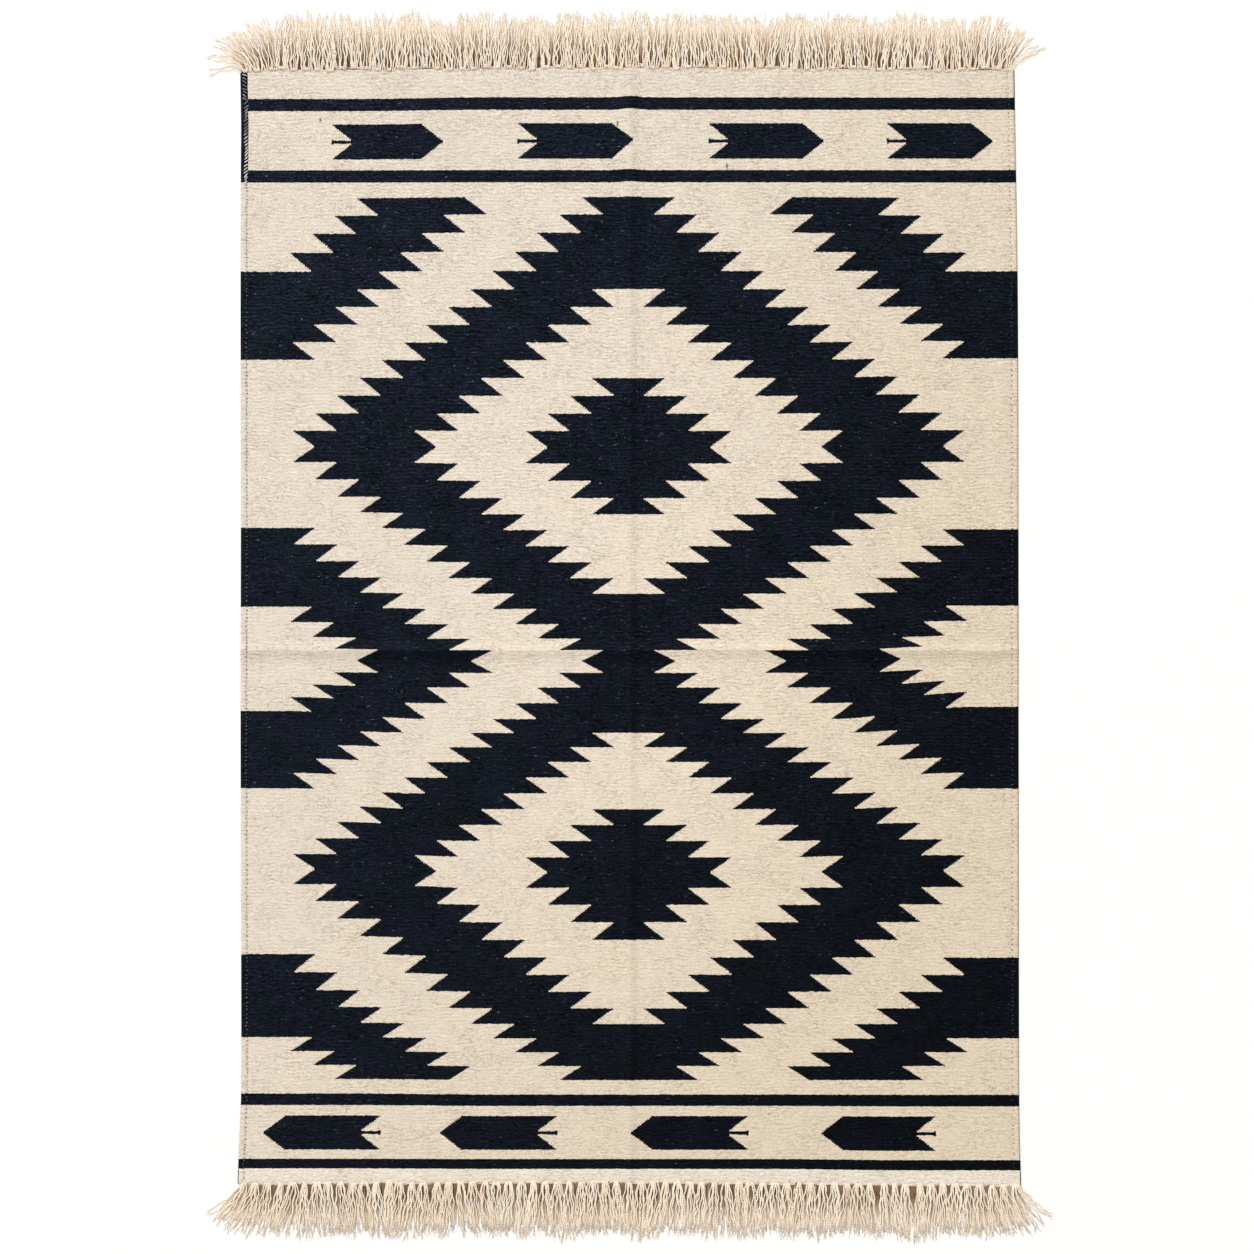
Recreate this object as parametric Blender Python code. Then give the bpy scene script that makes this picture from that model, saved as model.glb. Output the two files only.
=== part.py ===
"""Flat-woven cotton dhurrie rug, laid out flat: a woven panel and a knotted fringe at each end.

Frame: metres, +Z up and the floor at Z = 0. The origin is the middle of the rectangle that the
rug fills with its fringes. The first woven end lies towards -Y and the last one towards +Y.
"""

import math
import random
from collections import namedtuple

import bmesh
import bpy
from mathutils import Vector

# The woven panel: a thick double cloth whose side edges are turned under and stitched
PANEL_WIDTH = 1.400
PANEL_LENGTH = 2.000
PANEL_THICKNESS = 0.0035
GRID_STEP = 0.110

# The turned hem: how much thicker the cloth is at a distance in from the side edge. It is
# rounded at the edge, full over the turned part and pulled in along the seam
HemStation = namedtuple("HemStation", "inset rise")
HEM_STATIONS = (
    HemStation(inset=0.0000, rise=0.0000),
    HemStation(inset=0.0030, rise=0.0012),
    HemStation(inset=0.0095, rise=0.0012),
    HemStation(inset=0.0120, rise=-0.0008),
    HemStation(inset=0.0145, rise=0.0000),
)

# The two soft creases that folding in four has left, as low ridges
CREASE_ACROSS = 0.003
CREASE_ALONG = -0.041
CREASE_REACH = 0.018
CREASE_RISE = 0.0012
CREASE_LINES = (-1.0, -0.5, 0.0, 0.5, 1.0)

# How far each side edge stands out (+) or in (-) from the even rectangle, from the -Y end up
SideStation = namedtuple("SideStation", "along left right")
SIDE_STATIONS = (
    SideStation(along=-1.000, left=0.0055, right=0.0052),
    SideStation(along=-0.920, left=0.0029, right=0.0029),
    SideStation(along=-0.840, left=-0.0005, right=0.0018),
    SideStation(along=-0.600, left=-0.0007, right=0.0013),
    SideStation(along=-0.180, left=0.0003, right=0.0008),
    SideStation(along=0.200, left=-0.0002, right=0.0005),
    SideStation(along=0.580, left=0.0003, right=-0.0006),
    SideStation(along=0.820, left=-0.0002, right=-0.0038),
    SideStation(along=0.900, left=-0.0006, right=-0.0052),
    SideStation(along=1.000, left=0.0008, right=-0.0070),
)

# How far each end edge bows out from the even rectangle, from the left edge to the right
EndStation = namedtuple("EndStation", "across low high")
END_STATIONS = (
    EndStation(across=-0.700, low=0.0027, high=0.0016),
    EndStation(across=-0.350, low=0.0010, high=0.0042),
    EndStation(across=0.000, low=0.0002, high=0.0066),
    EndStation(across=0.350, low=0.0030, high=0.0045),
    EndStation(across=0.700, low=0.0058, high=0.0018),
)
END_BOW_POWER = 6

# The fringe: the warp ends, knotted in bunches close to the cloth, each bunch falling into locks
TASSELS_PER_END = 65
SEAT_GAP = 0.0003
KNOT_DEPTH = 0.0072

# The band of knots over one tassel: the share of the tassel's spacing, and the band's depth and
# height there. It is cut in between two tassels, and rises to the knot that both locks leave
BandStation = namedtuple("BandStation", "share depth height")
BAND_STATIONS = (
    BandStation(share=0.00, depth=0.0026, height=0.0022),
    BandStation(share=0.20, depth=0.0064, height=0.0036),
    BandStation(share=0.48, depth=KNOT_DEPTH, height=0.0050),
    BandStation(share=0.52, depth=KNOT_DEPTH, height=0.0050),
    BandStation(share=0.80, depth=0.0064, height=0.0036),
)
LOCK_ROOTS = ((1, 2), (3, 4))

# The sections of one lock, from its root to its tip: how far along the lock each lies, the share
# of the room between its neighbours that it fills, its height, and how much of its lean it has
LockSection = namedtuple("LockSection", "along fill height lean")
LOCK_SECTIONS = (
    LockSection(along=0.22, fill=0.78, height=0.0064, lean=0.55),
    LockSection(along=0.66, fill=0.78, height=0.0056, lean=0.95),
    LockSection(along=1.00, fill=0.46, height=0.0026, lean=1.00),
)
LOCK_WIDEST = 0.0115
LOCK_TOP_SHARE = 0.62
LENGTH_SPREAD = 0.045
HEIGHT_SPREAD = 0.16
TURN_SPREAD = math.radians(0.5)
FAN_SHIFT = 0.0021
FAN_SHARE = 0.5

# How the locks sway together: angle and wavelength along the edge of two gentle waves
SWAYS = ((math.radians(4.6), 0.236), (math.radians(1.5), 0.089))

# The fringe of each end: its length and, at each corner, how far the outermost locks fan out,
# how soon that dies away along the edge, and how long those locks are beside the rest
FringeEnd = namedtuple("FringeEnd", "name side length left right sway_start seed")
Corner = namedtuple("Corner", "splay fade length")
FRINGE_ENDS = (
    FringeEnd(
        name="fringe_top",
        side=1,
        length=0.0940,
        left=Corner(splay=math.radians(86), fade=0.038, length=0.64),
        right=Corner(splay=math.radians(62), fade=0.034, length=0.70),
        sway_start=0.6,
        seed=11,
    ),
    FringeEnd(
        name="fringe_bottom",
        side=-1,
        length=0.1010,
        left=Corner(splay=math.radians(52), fade=0.060, length=0.94),
        right=Corner(splay=math.radians(50), fade=0.042, length=0.84),
        sway_start=2.4,
        seed=23,
    ),
)

WEAVE_COLOUR = (0.60, 0.54, 0.44)
FRINGE_COLOUR = (0.76, 0.67, 0.54)
COTTON_ROUGHNESS = 0.92


def clear_scene():
    """Remove whatever the scene holds."""
    for obj in list(bpy.data.objects):
        bpy.data.objects.remove(obj, do_unlink=True)


def cotton(name, colour):
    """Make a matt cotton finish."""
    material = bpy.data.materials.new(name)
    material.use_nodes = True
    shader = material.node_tree.nodes["Principled BSDF"]
    shader.inputs["Base Color"].default_value = (*colour, 1.0)
    shader.inputs["Roughness"].default_value = COTTON_ROUGHNESS
    shader.inputs["Metallic"].default_value = 0.0
    return material


def add_object(name, bm, material):
    """Turn a bmesh into a named object with one material."""
    bmesh.ops.recalc_face_normals(bm, faces=bm.faces)
    mesh = bpy.data.meshes.new(name)
    bm.to_mesh(mesh)
    bm.free()
    mesh.materials.append(material)
    obj = bpy.data.objects.new(name, mesh)
    bpy.context.collection.objects.link(obj)
    return obj


def find_row(rows, key, at):
    """Find where a place lies in a table: the row before it, and the share of the way on."""
    keys = [getattr(row, key) for row in rows]
    at = min(max(at, keys[0]), keys[-1])
    low = max(i for i in range(len(keys) - 1) if keys[i] <= at)
    return low, (at - keys[low]) / (keys[low + 1] - keys[low])


def read_smooth(rows, key, column, at):
    """Read a column of a table on a smooth curve through its rows."""
    low, share = find_row(rows, key, at)
    before, after = max(low - 1, 0), min(low + 2, len(rows) - 1)
    start, end = getattr(rows[low], column), getattr(rows[low + 1], column)
    span = getattr(rows[low + 1], key) - getattr(rows[low], key)
    lead = (end - getattr(rows[before], column)) * span
    lead /= getattr(rows[low + 1], key) - getattr(rows[before], key)
    tail = (getattr(rows[after], column) - start) * span
    tail /= getattr(rows[after], key) - getattr(rows[low], key)
    eased = start + (end - start) * share**2 * (3 - 2 * share)
    return eased + lead * share * (1 - share) ** 2 - tail * share**2 * (1 - share)


def read_straight(rows, key, column, at):
    """Read a column of a table on straight lines between its rows."""
    low, share = find_row(rows, key, at)
    start, end = getattr(rows[low], column), getattr(rows[low + 1], column)
    return start + (end - start) * share


def panel_place(across, along):
    """Carry a point of the even rectangle to where it lies on the uneven one."""
    side = "left" if across < 0 else "right"
    end = "low" if along < 0 else "high"
    sideways = read_smooth(SIDE_STATIONS, "along", side, along) * across / (PANEL_WIDTH / 2)
    reach = abs(along) / (PANEL_LENGTH / 2)
    bow = read_smooth(END_STATIONS, "across", end, across) * reach**END_BOW_POWER
    return Vector((across + sideways, along + math.copysign(bow, along), 0))


def ridge(distance, reach):
    """Height share of a soft ridge at a distance from its crest."""
    share = min(abs(distance) / reach, 1)
    return (1 - share**2) ** 2


def panel_height(across, along):
    """Thickness of the cloth: its turned hem, the seam that holds it, and the two creases."""
    height = PANEL_THICKNESS
    height += read_straight(HEM_STATIONS, "inset", "rise", PANEL_WIDTH / 2 - abs(across))
    height += CREASE_RISE * ridge(across - CREASE_ACROSS, CREASE_REACH)
    height += CREASE_RISE * ridge(along - CREASE_ALONG, CREASE_REACH)
    return height


def spread_lines(stops, step):
    """Give the stops with even lines between them wherever they lie far apart."""
    lines = []
    for start, end in zip(stops, stops[1:]):
        parts = max(round((end - start) / step), 1)
        lines += [start + (end - start) * i / parts for i in range(parts)]
    return lines + [stops[-1]]


def build_panel(material):
    """Weave the panel: a flat underside, with the hems and creases raised on top."""
    half_width, half_length = PANEL_WIDTH / 2, PANEL_LENGTH / 2
    hem = [half_width - row.inset for row in HEM_STATIONS]
    upright = [CREASE_ACROSS + CREASE_REACH * share for share in CREASE_LINES]
    level = [CREASE_ALONG + CREASE_REACH * share for share in CREASE_LINES]
    columns = spread_lines([-across for across in hem] + upright + hem[::-1], GRID_STEP)
    rows = spread_lines([-half_length] + level + [half_length], GRID_STEP)
    bm = bmesh.new()
    grid = [[bm.verts.new(panel_place(across, along)) for across in columns] for along in rows]
    for low, high in zip(grid, grid[1:]):
        for i in range(len(columns) - 1):
            bm.faces.new((low[i], low[i + 1], high[i + 1], high[i]))
    heights = [panel_height(across, along) for along in rows for across in columns]
    for top, height in zip(raise_sheet(bm).values(), heights):
        top.co.z = height
    return add_object("woven_panel", bm, material)


def raise_sheet(bm):
    """Extrude a flat sheet into a slab, and give each floor vertex's partner on top, in order."""
    floor_verts = list(bm.verts)
    raised = bmesh.ops.extrude_face_region(bm, geom=list(bm.faces))["geom"]
    tops = {item.co.to_tuple(): item for item in raised if isinstance(item, bmesh.types.BMVert)}
    return {vert: tops[vert.co.to_tuple()] for vert in floor_verts}


def sway_angle(end, across):
    """Lean of the locks at a place along the edge, from the gentle waves and the fanned corners."""
    angle = 0.0
    for turn, wavelength in SWAYS:
        angle += turn * math.sin(end.sway_start + math.tau * across / wavelength)
    half_width = PANEL_WIDTH / 2
    angle -= end.left.splay * math.exp(-(half_width + across) / end.left.fade)
    angle += end.right.splay * math.exp(-(half_width - across) / end.right.fade)
    return angle


def lock_length(end, across):
    """Length of a lock: the fanned ones at the corners are shorter than the rest."""
    half_width = PANEL_WIDTH / 2
    share = 1.0
    share -= (1 - end.left.length) * math.exp(-(half_width + across) / end.left.fade)
    share -= (1 - end.right.length) * math.exp(-(half_width - across) / end.right.fade)
    return (end.length - KNOT_DEPTH) * share


def lock_paths(end, roots, draw):
    """Lay out every lock's middle line on the floor, as one point and heading a section."""
    paths = []
    for index, (start, finish, across) in enumerate(roots):
        middle = (start.co + finish.co) / 2
        length = lock_length(end, across) * (1 + draw.uniform(-LENGTH_SPREAD, LENGTH_SPREAD))
        side = 2 * (index % len(LOCK_ROOTS)) - 1
        angle = side * math.atan(FAN_SHIFT / (length * FAN_SHARE)) + sway_angle(end, across)
        angle += draw.uniform(-TURN_SPREAD, TURN_SPREAD)
        path = []
        done = 0.0
        for section in LOCK_SECTIONS:
            turn = angle * section.lean
            heading = Vector((math.sin(turn), end.side * math.cos(turn), 0))
            middle = middle + heading * (section.along - done) * length
            done = section.along
            path.append((middle, heading))
        paths.append(path)
    return paths


def lock_width(paths, index, level):
    """Width of a lock at one section, from the room that its neighbours leave it."""
    middle, heading = paths[index][level]
    across = Vector((0, 0, 1)).cross(heading)
    beside = [paths[i][level][0] for i in (index - 1, index + 1) if 0 <= i < len(paths)]
    room = min(abs((place - middle).dot(across)) for place in beside)
    return min(room * LOCK_SECTIONS[level].fill, LOCK_WIDEST)


def grow_lock(bm, face, path, widths, heights):
    """Extrude a root face into one lock, flat underneath and narrower on top."""
    for (middle, heading), width, height in zip(path, widths, heights):
        across = Vector((0, 0, 1)).cross(heading)
        centre = face.calc_center_median()
        face = bmesh.ops.extrude_discrete_faces(bm, faces=[face])["faces"][0]
        for vert in face.verts:
            is_top = vert.co.z > centre.z
            reach = width / 2 * (LOCK_TOP_SHARE if is_top else 1)
            place = middle + across * math.copysign(reach, (vert.co - centre).dot(across))
            vert.co = (place.x, place.y, height if is_top else 0)


def lay_band(bm, end):
    """Lay the band of knots along the cloth's edge, and give each lock's root on its outside."""
    outward = Vector((0, end.side, 0))
    pitch = PANEL_WIDTH / TASSELS_PER_END
    stations = [(tassel, row) for tassel in range(TASSELS_PER_END) for row in BAND_STATIONS]
    stations.append((TASSELS_PER_END, BAND_STATIONS[0]))
    places = [(tassel + row.share) * pitch - PANEL_WIDTH / 2 for tassel, row in stations]
    inner, outer, heights = [], [], {}
    for across, (_, row) in zip(places, stations):
        edge = panel_place(across, end.side * PANEL_LENGTH / 2)
        inner.append(bm.verts.new(edge + outward * SEAT_GAP))
        outer.append(bm.verts.new(edge + outward * row.depth))
        heights[inner[-1]] = PANEL_THICKNESS
        heights[outer[-1]] = row.height
    for i in range(len(stations) - 1):
        bm.faces.new((inner[i], inner[i + 1], outer[i + 1], outer[i]))
    for vert, top in raise_sheet(bm).items():
        top.co.z = heights[vert]
    firsts = range(0, len(stations) - 1, len(BAND_STATIONS))
    roots = [(i + start, i + finish) for i in firsts for start, finish in LOCK_ROOTS]
    return [(outer[i], outer[j], (places[i] + places[j]) / 2) for i, j in roots]


def build_fringe(end, material):
    """Tie one end's fringe: the band of knots, and two locks that leave every knot."""
    draw = random.Random(end.seed)
    bm = bmesh.new()
    roots = lay_band(bm, end)
    paths = lock_paths(end, roots, draw)
    for index, (start, finish, _) in enumerate(roots):
        edge = bm.edges.get((start, finish))
        face = next(side for side in edge.link_faces if len({v.co.z for v in side.verts}) > 1)
        widths = [lock_width(paths, index, level) for level in range(len(LOCK_SECTIONS))]
        swell = 1 + draw.uniform(-HEIGHT_SPREAD, HEIGHT_SPREAD)
        grow_lock(bm, face, paths[index], widths, [row.height * swell for row in LOCK_SECTIONS])
    return add_object(end.name, bm, material)


def centre_on_origin(objects):
    """Bring the middle of the rectangle that the pieces fill together to the origin."""
    places = [vert.co for obj in objects for vert in obj.data.vertices]
    middle = Vector((0, 0, 0))
    for axis in (0, 1):
        reach = [place[axis] for place in places]
        middle[axis] = (min(reach) + max(reach)) / 2
    for obj in objects:
        for vert in obj.data.vertices:
            vert.co -= middle


def main():
    """Build the rug."""
    clear_scene()
    pieces = [build_panel(cotton("flatweave_cotton", WEAVE_COLOUR))]
    yarn = cotton("fringe_yarn", FRINGE_COLOUR)
    pieces += [build_fringe(end, yarn) for end in FRINGE_ENDS]
    centre_on_origin(pieces)


main()
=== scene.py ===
"""A flat-woven cotton dhurrie rug, dressed over its CAD solids: the patterned cloth with its sewn
side hems, the knotted fringe at both ends, and a plain studio round them.

Frame: metres, +Z up and the floor at Z = 0. The first woven end lies towards -Y, the last one
towards +Y. "across" runs from the left selvedge to the right one and "along" from the first
woven end to the last, both measured on the even rectangle that the cloth was meant to be.
"""

import math
from collections import namedtuple
from functools import partial

import bpy
import numpy as np
from bpy.props import FloatProperty, FloatVectorProperty, IntProperty, PointerProperty
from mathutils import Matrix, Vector


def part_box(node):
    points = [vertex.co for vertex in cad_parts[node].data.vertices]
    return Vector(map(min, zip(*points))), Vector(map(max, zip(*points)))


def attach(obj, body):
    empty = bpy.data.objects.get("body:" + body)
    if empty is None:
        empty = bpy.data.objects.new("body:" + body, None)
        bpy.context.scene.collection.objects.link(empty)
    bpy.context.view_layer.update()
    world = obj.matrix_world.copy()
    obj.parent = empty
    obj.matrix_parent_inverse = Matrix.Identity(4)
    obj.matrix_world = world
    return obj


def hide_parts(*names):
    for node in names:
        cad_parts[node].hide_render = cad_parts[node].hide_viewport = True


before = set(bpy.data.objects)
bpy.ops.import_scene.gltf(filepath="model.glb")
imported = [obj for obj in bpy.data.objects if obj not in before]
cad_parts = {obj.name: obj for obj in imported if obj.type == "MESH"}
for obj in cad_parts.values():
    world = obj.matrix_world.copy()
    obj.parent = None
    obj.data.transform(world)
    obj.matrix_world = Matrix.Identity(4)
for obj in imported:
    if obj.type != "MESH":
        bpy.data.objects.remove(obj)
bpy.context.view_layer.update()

bl_info = {
    "name": "Dhurrie Rug",
    "version": (1, 0, 0),
    "blender": (4, 5, 0),
    "location": "View3D > Sidebar > Rug",
    "description": "Weaves a cotton dhurrie rug with its hems and fringes",
    "category": "Add Mesh",
}


def table(columns, *rows):
    """Make a short table with named columns."""
    row_type = namedtuple("Row", columns)
    return [row_type(*row) for row in rows]


# ---------------------------------------------------------------- the cloth's sizes, in metres

CLOTH_WIDTH = 1.400
CLOTH_LENGTH = 2.000
HALF_WIDTH = CLOTH_WIDTH / 2
HALF_LENGTH = CLOTH_LENGTH / 2

# How far each side edge stands out (+) or in (-) from the even rectangle, from the -Y end up
SIDE_STATIONS = table(
    "along left right",
    (-1.000, 0.0055, 0.0052),
    (-0.920, 0.0029, 0.0029),
    (-0.840, -0.0005, 0.0018),
    (-0.600, -0.0007, 0.0013),
    (-0.180, 0.0003, 0.0008),
    (0.200, -0.0002, 0.0005),
    (0.580, 0.0003, -0.0006),
    (0.820, -0.0002, -0.0038),
    (0.900, -0.0006, -0.0052),
    (1.000, 0.0008, -0.0070),
)

# How far each end edge bows out from the even rectangle, from the left edge to the right
END_STATIONS = table(
    "across low high",
    (-0.700, 0.0027, 0.0016),
    (-0.350, 0.0010, 0.0042),
    (0.000, 0.0002, 0.0066),
    (0.350, 0.0030, 0.0045),
    (0.700, 0.0058, 0.0018),
)

# The turned hem: how much higher the cloth lies at a distance in from the side edge
HEM_STATIONS = table(
    "inset rise",
    (0.0000, -0.0016),
    (0.0007, -0.0002),
    (0.0020, 0.0008),
    (0.0045, 0.0012),
    (0.0090, 0.0011),
    (0.0110, 0.0001),
    (0.0125, -0.0008),
    (0.0140, -0.0003),
    (0.0170, 0.0002),
    (0.0230, 0.0000),
)

# The seams that hold the hems: how far in from the edge each runs, the room between two stitches
# at the least and at the most, and how far its stitches slant
SEAMS = table(
    "name side inset shortest longest turn",
    ("left_hem_stitches", -1, 0.0102, 0.0050, 0.0095, math.radians(20)),
    ("right_hem_stitches", 1, 0.0117, 0.0060, 0.0130, math.radians(8)),
)

# The cloth's ends are rounded over: how far down, and how far in that starts
END_ROUND_DROP = 0.0007
END_ROUND_REACH = 0.0030

# How far the underside's edges lift off the floor, and how far in that reaches
EDGE_LIFT = 0.0011
EDGE_REACH = 0.0016

# The left hem's far end is turned twice, so that the navy back shows, and is overcast by hand
OVERCAST_INSET = 0.0132
OVERCAST_PITCH = 0.0062
OVERCAST_FROM = 0.8000
OVERCAST_TO = 0.9960
OVERCAST_TURNS = 0.9450
OVERCAST_RISE = 0.0004

# The rims of the hems, where the back of the cloth shows, start this far out
HEM_RIM = 0.6982

# How far from the cloth's ends the seams stop
SEAM_MARGIN = 0.008
SEAM_SEED = 5

# Two stitches, drawn from station to station: the middle of the thread in the XZ plane, how its
# section slants there, and its radius. One comes up out of the cloth, lies over it for 2 mm and
# goes down again. The other rises from the folded edge and lies slanting over the turned hem
STITCH_SIDES = 6
RUNNING_STITCH = table(
    "x z slant radius",
    (-0.0017, -0.0006, -0.9, 0.00045),
    (-0.0010, 0.0003, -0.5, 0.00060),
    (0.0000, 0.0006, 0.0, 0.00070),
    (0.0010, 0.0003, 0.5, 0.00060),
    (0.0017, -0.0006, 0.9, 0.00045),
)
OVERCAST_STITCH = table(
    "x z slant radius",
    (-0.0048, -0.0004, -0.6, 0.0006),
    (-0.0034, 0.0006, -0.3, 0.0009),
    (0.0000, 0.0008, 0.1, 0.0011),
    (0.0032, 0.0003, 0.3, 0.0009),
    (0.0048, -0.0007, 0.7, 0.0005),
)

# Slubs of dark fibre spun into the cream yarn, across and along
SLUBS = ((-0.5515, 0.9175), (-0.0170, 0.9120), (-0.0160, 0.8900), (0.1800, 0.8350))

# The two soft creases that folding in four has left, and how the lengthwise one draws the first
# rows of the pattern towards the far end
CREASE_ACROSS = 0.001
CREASE_ALONG = -0.041
CREASE_REACH = 0.015
PUCKER_REACH = 0.034
PUCKER_DRAW = 0.0026

# The waves of the cloth's slight unevenness: how many there are in 3 m each way, and their phase
COCKLES = table(
    "x y phase",
    (7.3, 3.1, 0.4),
    (-4.2, 8.6, 1.9),
    (12.7, -5.9, 3.0),
    (3.4, 15.8, 5.1),
    (19.0, 11.0, 0.9),
)

# The rows of the pattern, counted from the far end towards the near one, and how far along the
# cloth each lies at the left, in the middle and at the right. Hand weaving leaves them uneven.
# The two edge rows are left out, because the cloth's own ends give them
FIRST_ROW = -9
LAST_ROW = 64
PATTERN_ROWS = table(
    "row left middle right",
    (-7, 0.9500, 0.9530, 0.9525),
    (-6, 0.9280, 0.9305, 0.9305),
    (-5, 0.9040, 0.9065, 0.9065),
    (-3, 0.8410, 0.8425, 0.8425),
    (-2, 0.8215, 0.8220, 0.8220),
    (-1, 0.7995, 0.8000, 0.7995),
    (0, 0.7715, 0.7735, 0.7725),
    (2, 0.7075, 0.7095, 0.7075),
    (4, 0.6390, 0.6405, 0.6400),
    (6, 0.5755, 0.5755, 0.5760),
    (9, 0.4805, 0.4795, 0.4830),
    (13, 0.3530, 0.3525, 0.3540),
    (15, 0.2965, 0.2940, 0.2965),
    (17, 0.2340, 0.2315, 0.2320),
    (19, 0.1780, 0.1740, 0.1755),
    (22, 0.0890, 0.0875, 0.0885),
    (24, 0.0360, 0.0320, 0.0380),
    (26, -0.0185, -0.0215, -0.0160),
    (27, -0.0385, -0.0420, -0.0330),
    (29, -0.0815, -0.0830, -0.0750),
    (31, -0.1260, -0.1375, -0.1175),
    (32, -0.1515, -0.1660, -0.1440),
    (33, -0.1855, -0.1910, -0.1805),
    (35, -0.2365, -0.2435, -0.2345),
    (37, -0.2910, -0.3000, -0.2915),
    (40, -0.3805, -0.3855, -0.3825),
    (41, -0.4090, -0.4150, -0.4110),
    (43, -0.4635, -0.4700, -0.4685),
    (47, -0.5890, -0.5950, -0.5955),
    (49, -0.6540, -0.6570, -0.6570),
    (51, -0.7125, -0.7150, -0.7150),
    (55, -0.8140, -0.8160, -0.8160),
    (56, -0.8400, -0.8420, -0.8425),
    (57, -0.8610, -0.8625, -0.8635),
    (58, -0.8795, -0.8805, -0.8815),
    (60, -0.9410, -0.9415, -0.9435),
    (61, -0.9575, -0.9580, -0.9600),
    (62, -0.9750, -0.9760, -0.9785),
)
# The middle's places hold out to the first distance from the middle line and the sides' from the
# second one, and both lie further out in the rows between the two lozenges
MIDDLE_ENDS = 0.25
SIDE_STARTS = 0.50
MIDDLE_WIDENS = 0.115
WIDE_ROWS = (21, 26, 37, 41)
# The rows that the crease across the cloth lies in, and the spacing of the mesh in rows
CREASE_ROWS = (24, 29)
ROW_SPACING = 0.34

# The navy stripes, by the middle of their row, and the rows that the field fills
STRIPE_MIDDLES = (-6.5, -1.5, 56.5, 61.5)
FIELD_LAST_ROW = 55
# The rows over which the last picks turn lighter and leave the cream's warmer mix
LAST_LOT = (61.5, 62.0)
# The middle rows of the two lozenges
LOZENGE_ROWS = (14, 42)

# How wide a tooth of the lozenges is, where their middle line lies, and in how many steps the
# slanting side of a tooth climbs
TOOTH_WIDTH = 0.040
TOOTH_MIDDLE = -0.0016
STEPS_PER_ROW = 11
# Each band's edge, counted in teeth out from the middle line, and the row of teeth, counted from
# the lozenge's own middle row, that it ends or starts at
CORE_TEETH, CORE_ROWS = 4.65, 4
GROUND_TEETH, GROUND_ROWS = 9.65, 9
LOZENGE_TEETH = 15.125
SIDE_TEETH, SIDE_ROWS = 20.1, 5
SIDE_GROUND_TEETH, SIDE_GROUND_ROWS = 25.25, 10
# The weaver began the side motifs a little further out: by how many teeth, and over which rows
SIDE_DRIFT, SIDE_DRIFT_ROWS = 0.29, 9

# The arrows in the two borders: the row their middle line lies on, and where across the cloth
# the tips of the tail and the point are
ARROWS = table(
    "row tail point",
    (-4, -0.5364, -0.3348),
    (-4, -0.2022, 0.0081),
    (-4, 0.1431, 0.3537),
    (-4, 0.4660, 0.6597),
    (59, -0.4464, -0.6584),
    (59, -0.1294, -0.3416),
    (59, 0.2137, 0.0005),
    (59, 0.5497, 0.3425),
)
ARROW_HEAD = 0.0405
ARROW_NOTCH = 0.0398
# Half the thickness of an arrow's shaft and of the small bar at its end, in rows of 32 mm, and
# how long the bar is as a share of the notch
SHAFT_HALF_ROWS = 0.092
BAR_HALF_ROWS = 0.145
BAR_SHARE = 0.10

# ---------------------------------------------------------------- the fringes' sizes

TASSELS_PER_END = 65
TASSEL_PITCH = CLOTH_WIDTH / TASSELS_PER_END
KNOT_DEPTH = 0.0072
KNOT_HEIGHT = 0.0034

# What the seeds for the tassels' places and for the knots add to the end's own
PLACES_SEED = 50
KNOTS_SEED = 100

# How the tassels sway together: angle and wavelength along the edge of two gentle waves
SWAYS = ((math.radians(4.6), 0.236), (math.radians(1.5), 0.089))

# Each end's fringe: its length and, at each corner, how far the outermost yarns fan out, how soon
# that dies away along the edge, and how long those yarns are beside the rest. Then how wide its
# knots are beside the usual one, what share of its tassels part in two, which part of a yarn's
# own shading shows deep in its gaps, how far the knots stray in over the cloth and out from it,
# where its gentle waves start, and the seed of all that is left to chance in it
Corner = namedtuple("Corner", "splay fade length")
FringeEnd = namedtuple(
    "FringeEnd", "name side length left right knot parted gap stray sway_start seed"
)
FRINGE_ENDS = (
    FringeEnd(
        name="top",
        side=1,
        length=0.0978,
        left=Corner(splay=math.radians(106), fade=0.028, length=0.74),
        right=Corner(splay=math.radians(66), fade=0.030, length=0.72),
        knot=1.00,
        parted=0.52,
        gap=0.09,
        stray=0.0022,
        sway_start=0.6,
        seed=11,
    ),
    FringeEnd(
        name="bottom",
        side=-1,
        length=0.1000,
        left=Corner(splay=math.radians(56), fade=0.055, length=0.94),
        right=Corner(splay=math.radians(48), fade=0.040, length=0.88),
        knot=0.80,
        parted=0.25,
        gap=0.34,
        stray=0.0007,
        sway_start=2.4,
        seed=23,
    ),
)

# One tassel from its root to its tips: how far along each station lies, how much of its lean it
# has, how wide the bunch is at each end of the rug as a share of a tassel's spacing, and how high
# its three layers lie. It leaves its knot narrow and fills its whole spacing further out
BUNCH_STATIONS = table(
    "along lean top bottom low middle high",
    (0.00, 0.00, 0.30, 0.160, 0.0012, 0.0024, 0.0032),
    (0.04, 0.12, 0.33, 0.220, 0.0014, 0.0034, 0.0050),
    (0.08, 0.24, 0.355, 0.270, 0.0016, 0.0038, 0.0058),
    (0.15, 0.42, 0.38, 0.320, 0.0017, 0.0039, 0.0060),
    (0.25, 0.60, 0.42, 0.370, 0.0017, 0.0038, 0.0058),
    (0.45, 0.80, 0.49, 0.455, 0.0017, 0.0034, 0.0052),
    (0.75, 0.97, 0.58, 0.54, 0.0015, 0.0025, 0.0036),
    (1.00, 1.00, 0.61, 0.59, 0.0012, 0.0016, 0.0021),
)
# How far from its tassel's middle the outermost yarn leaves the cloth, in tassel spacings
HALF_TASSEL = 0.42
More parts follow.
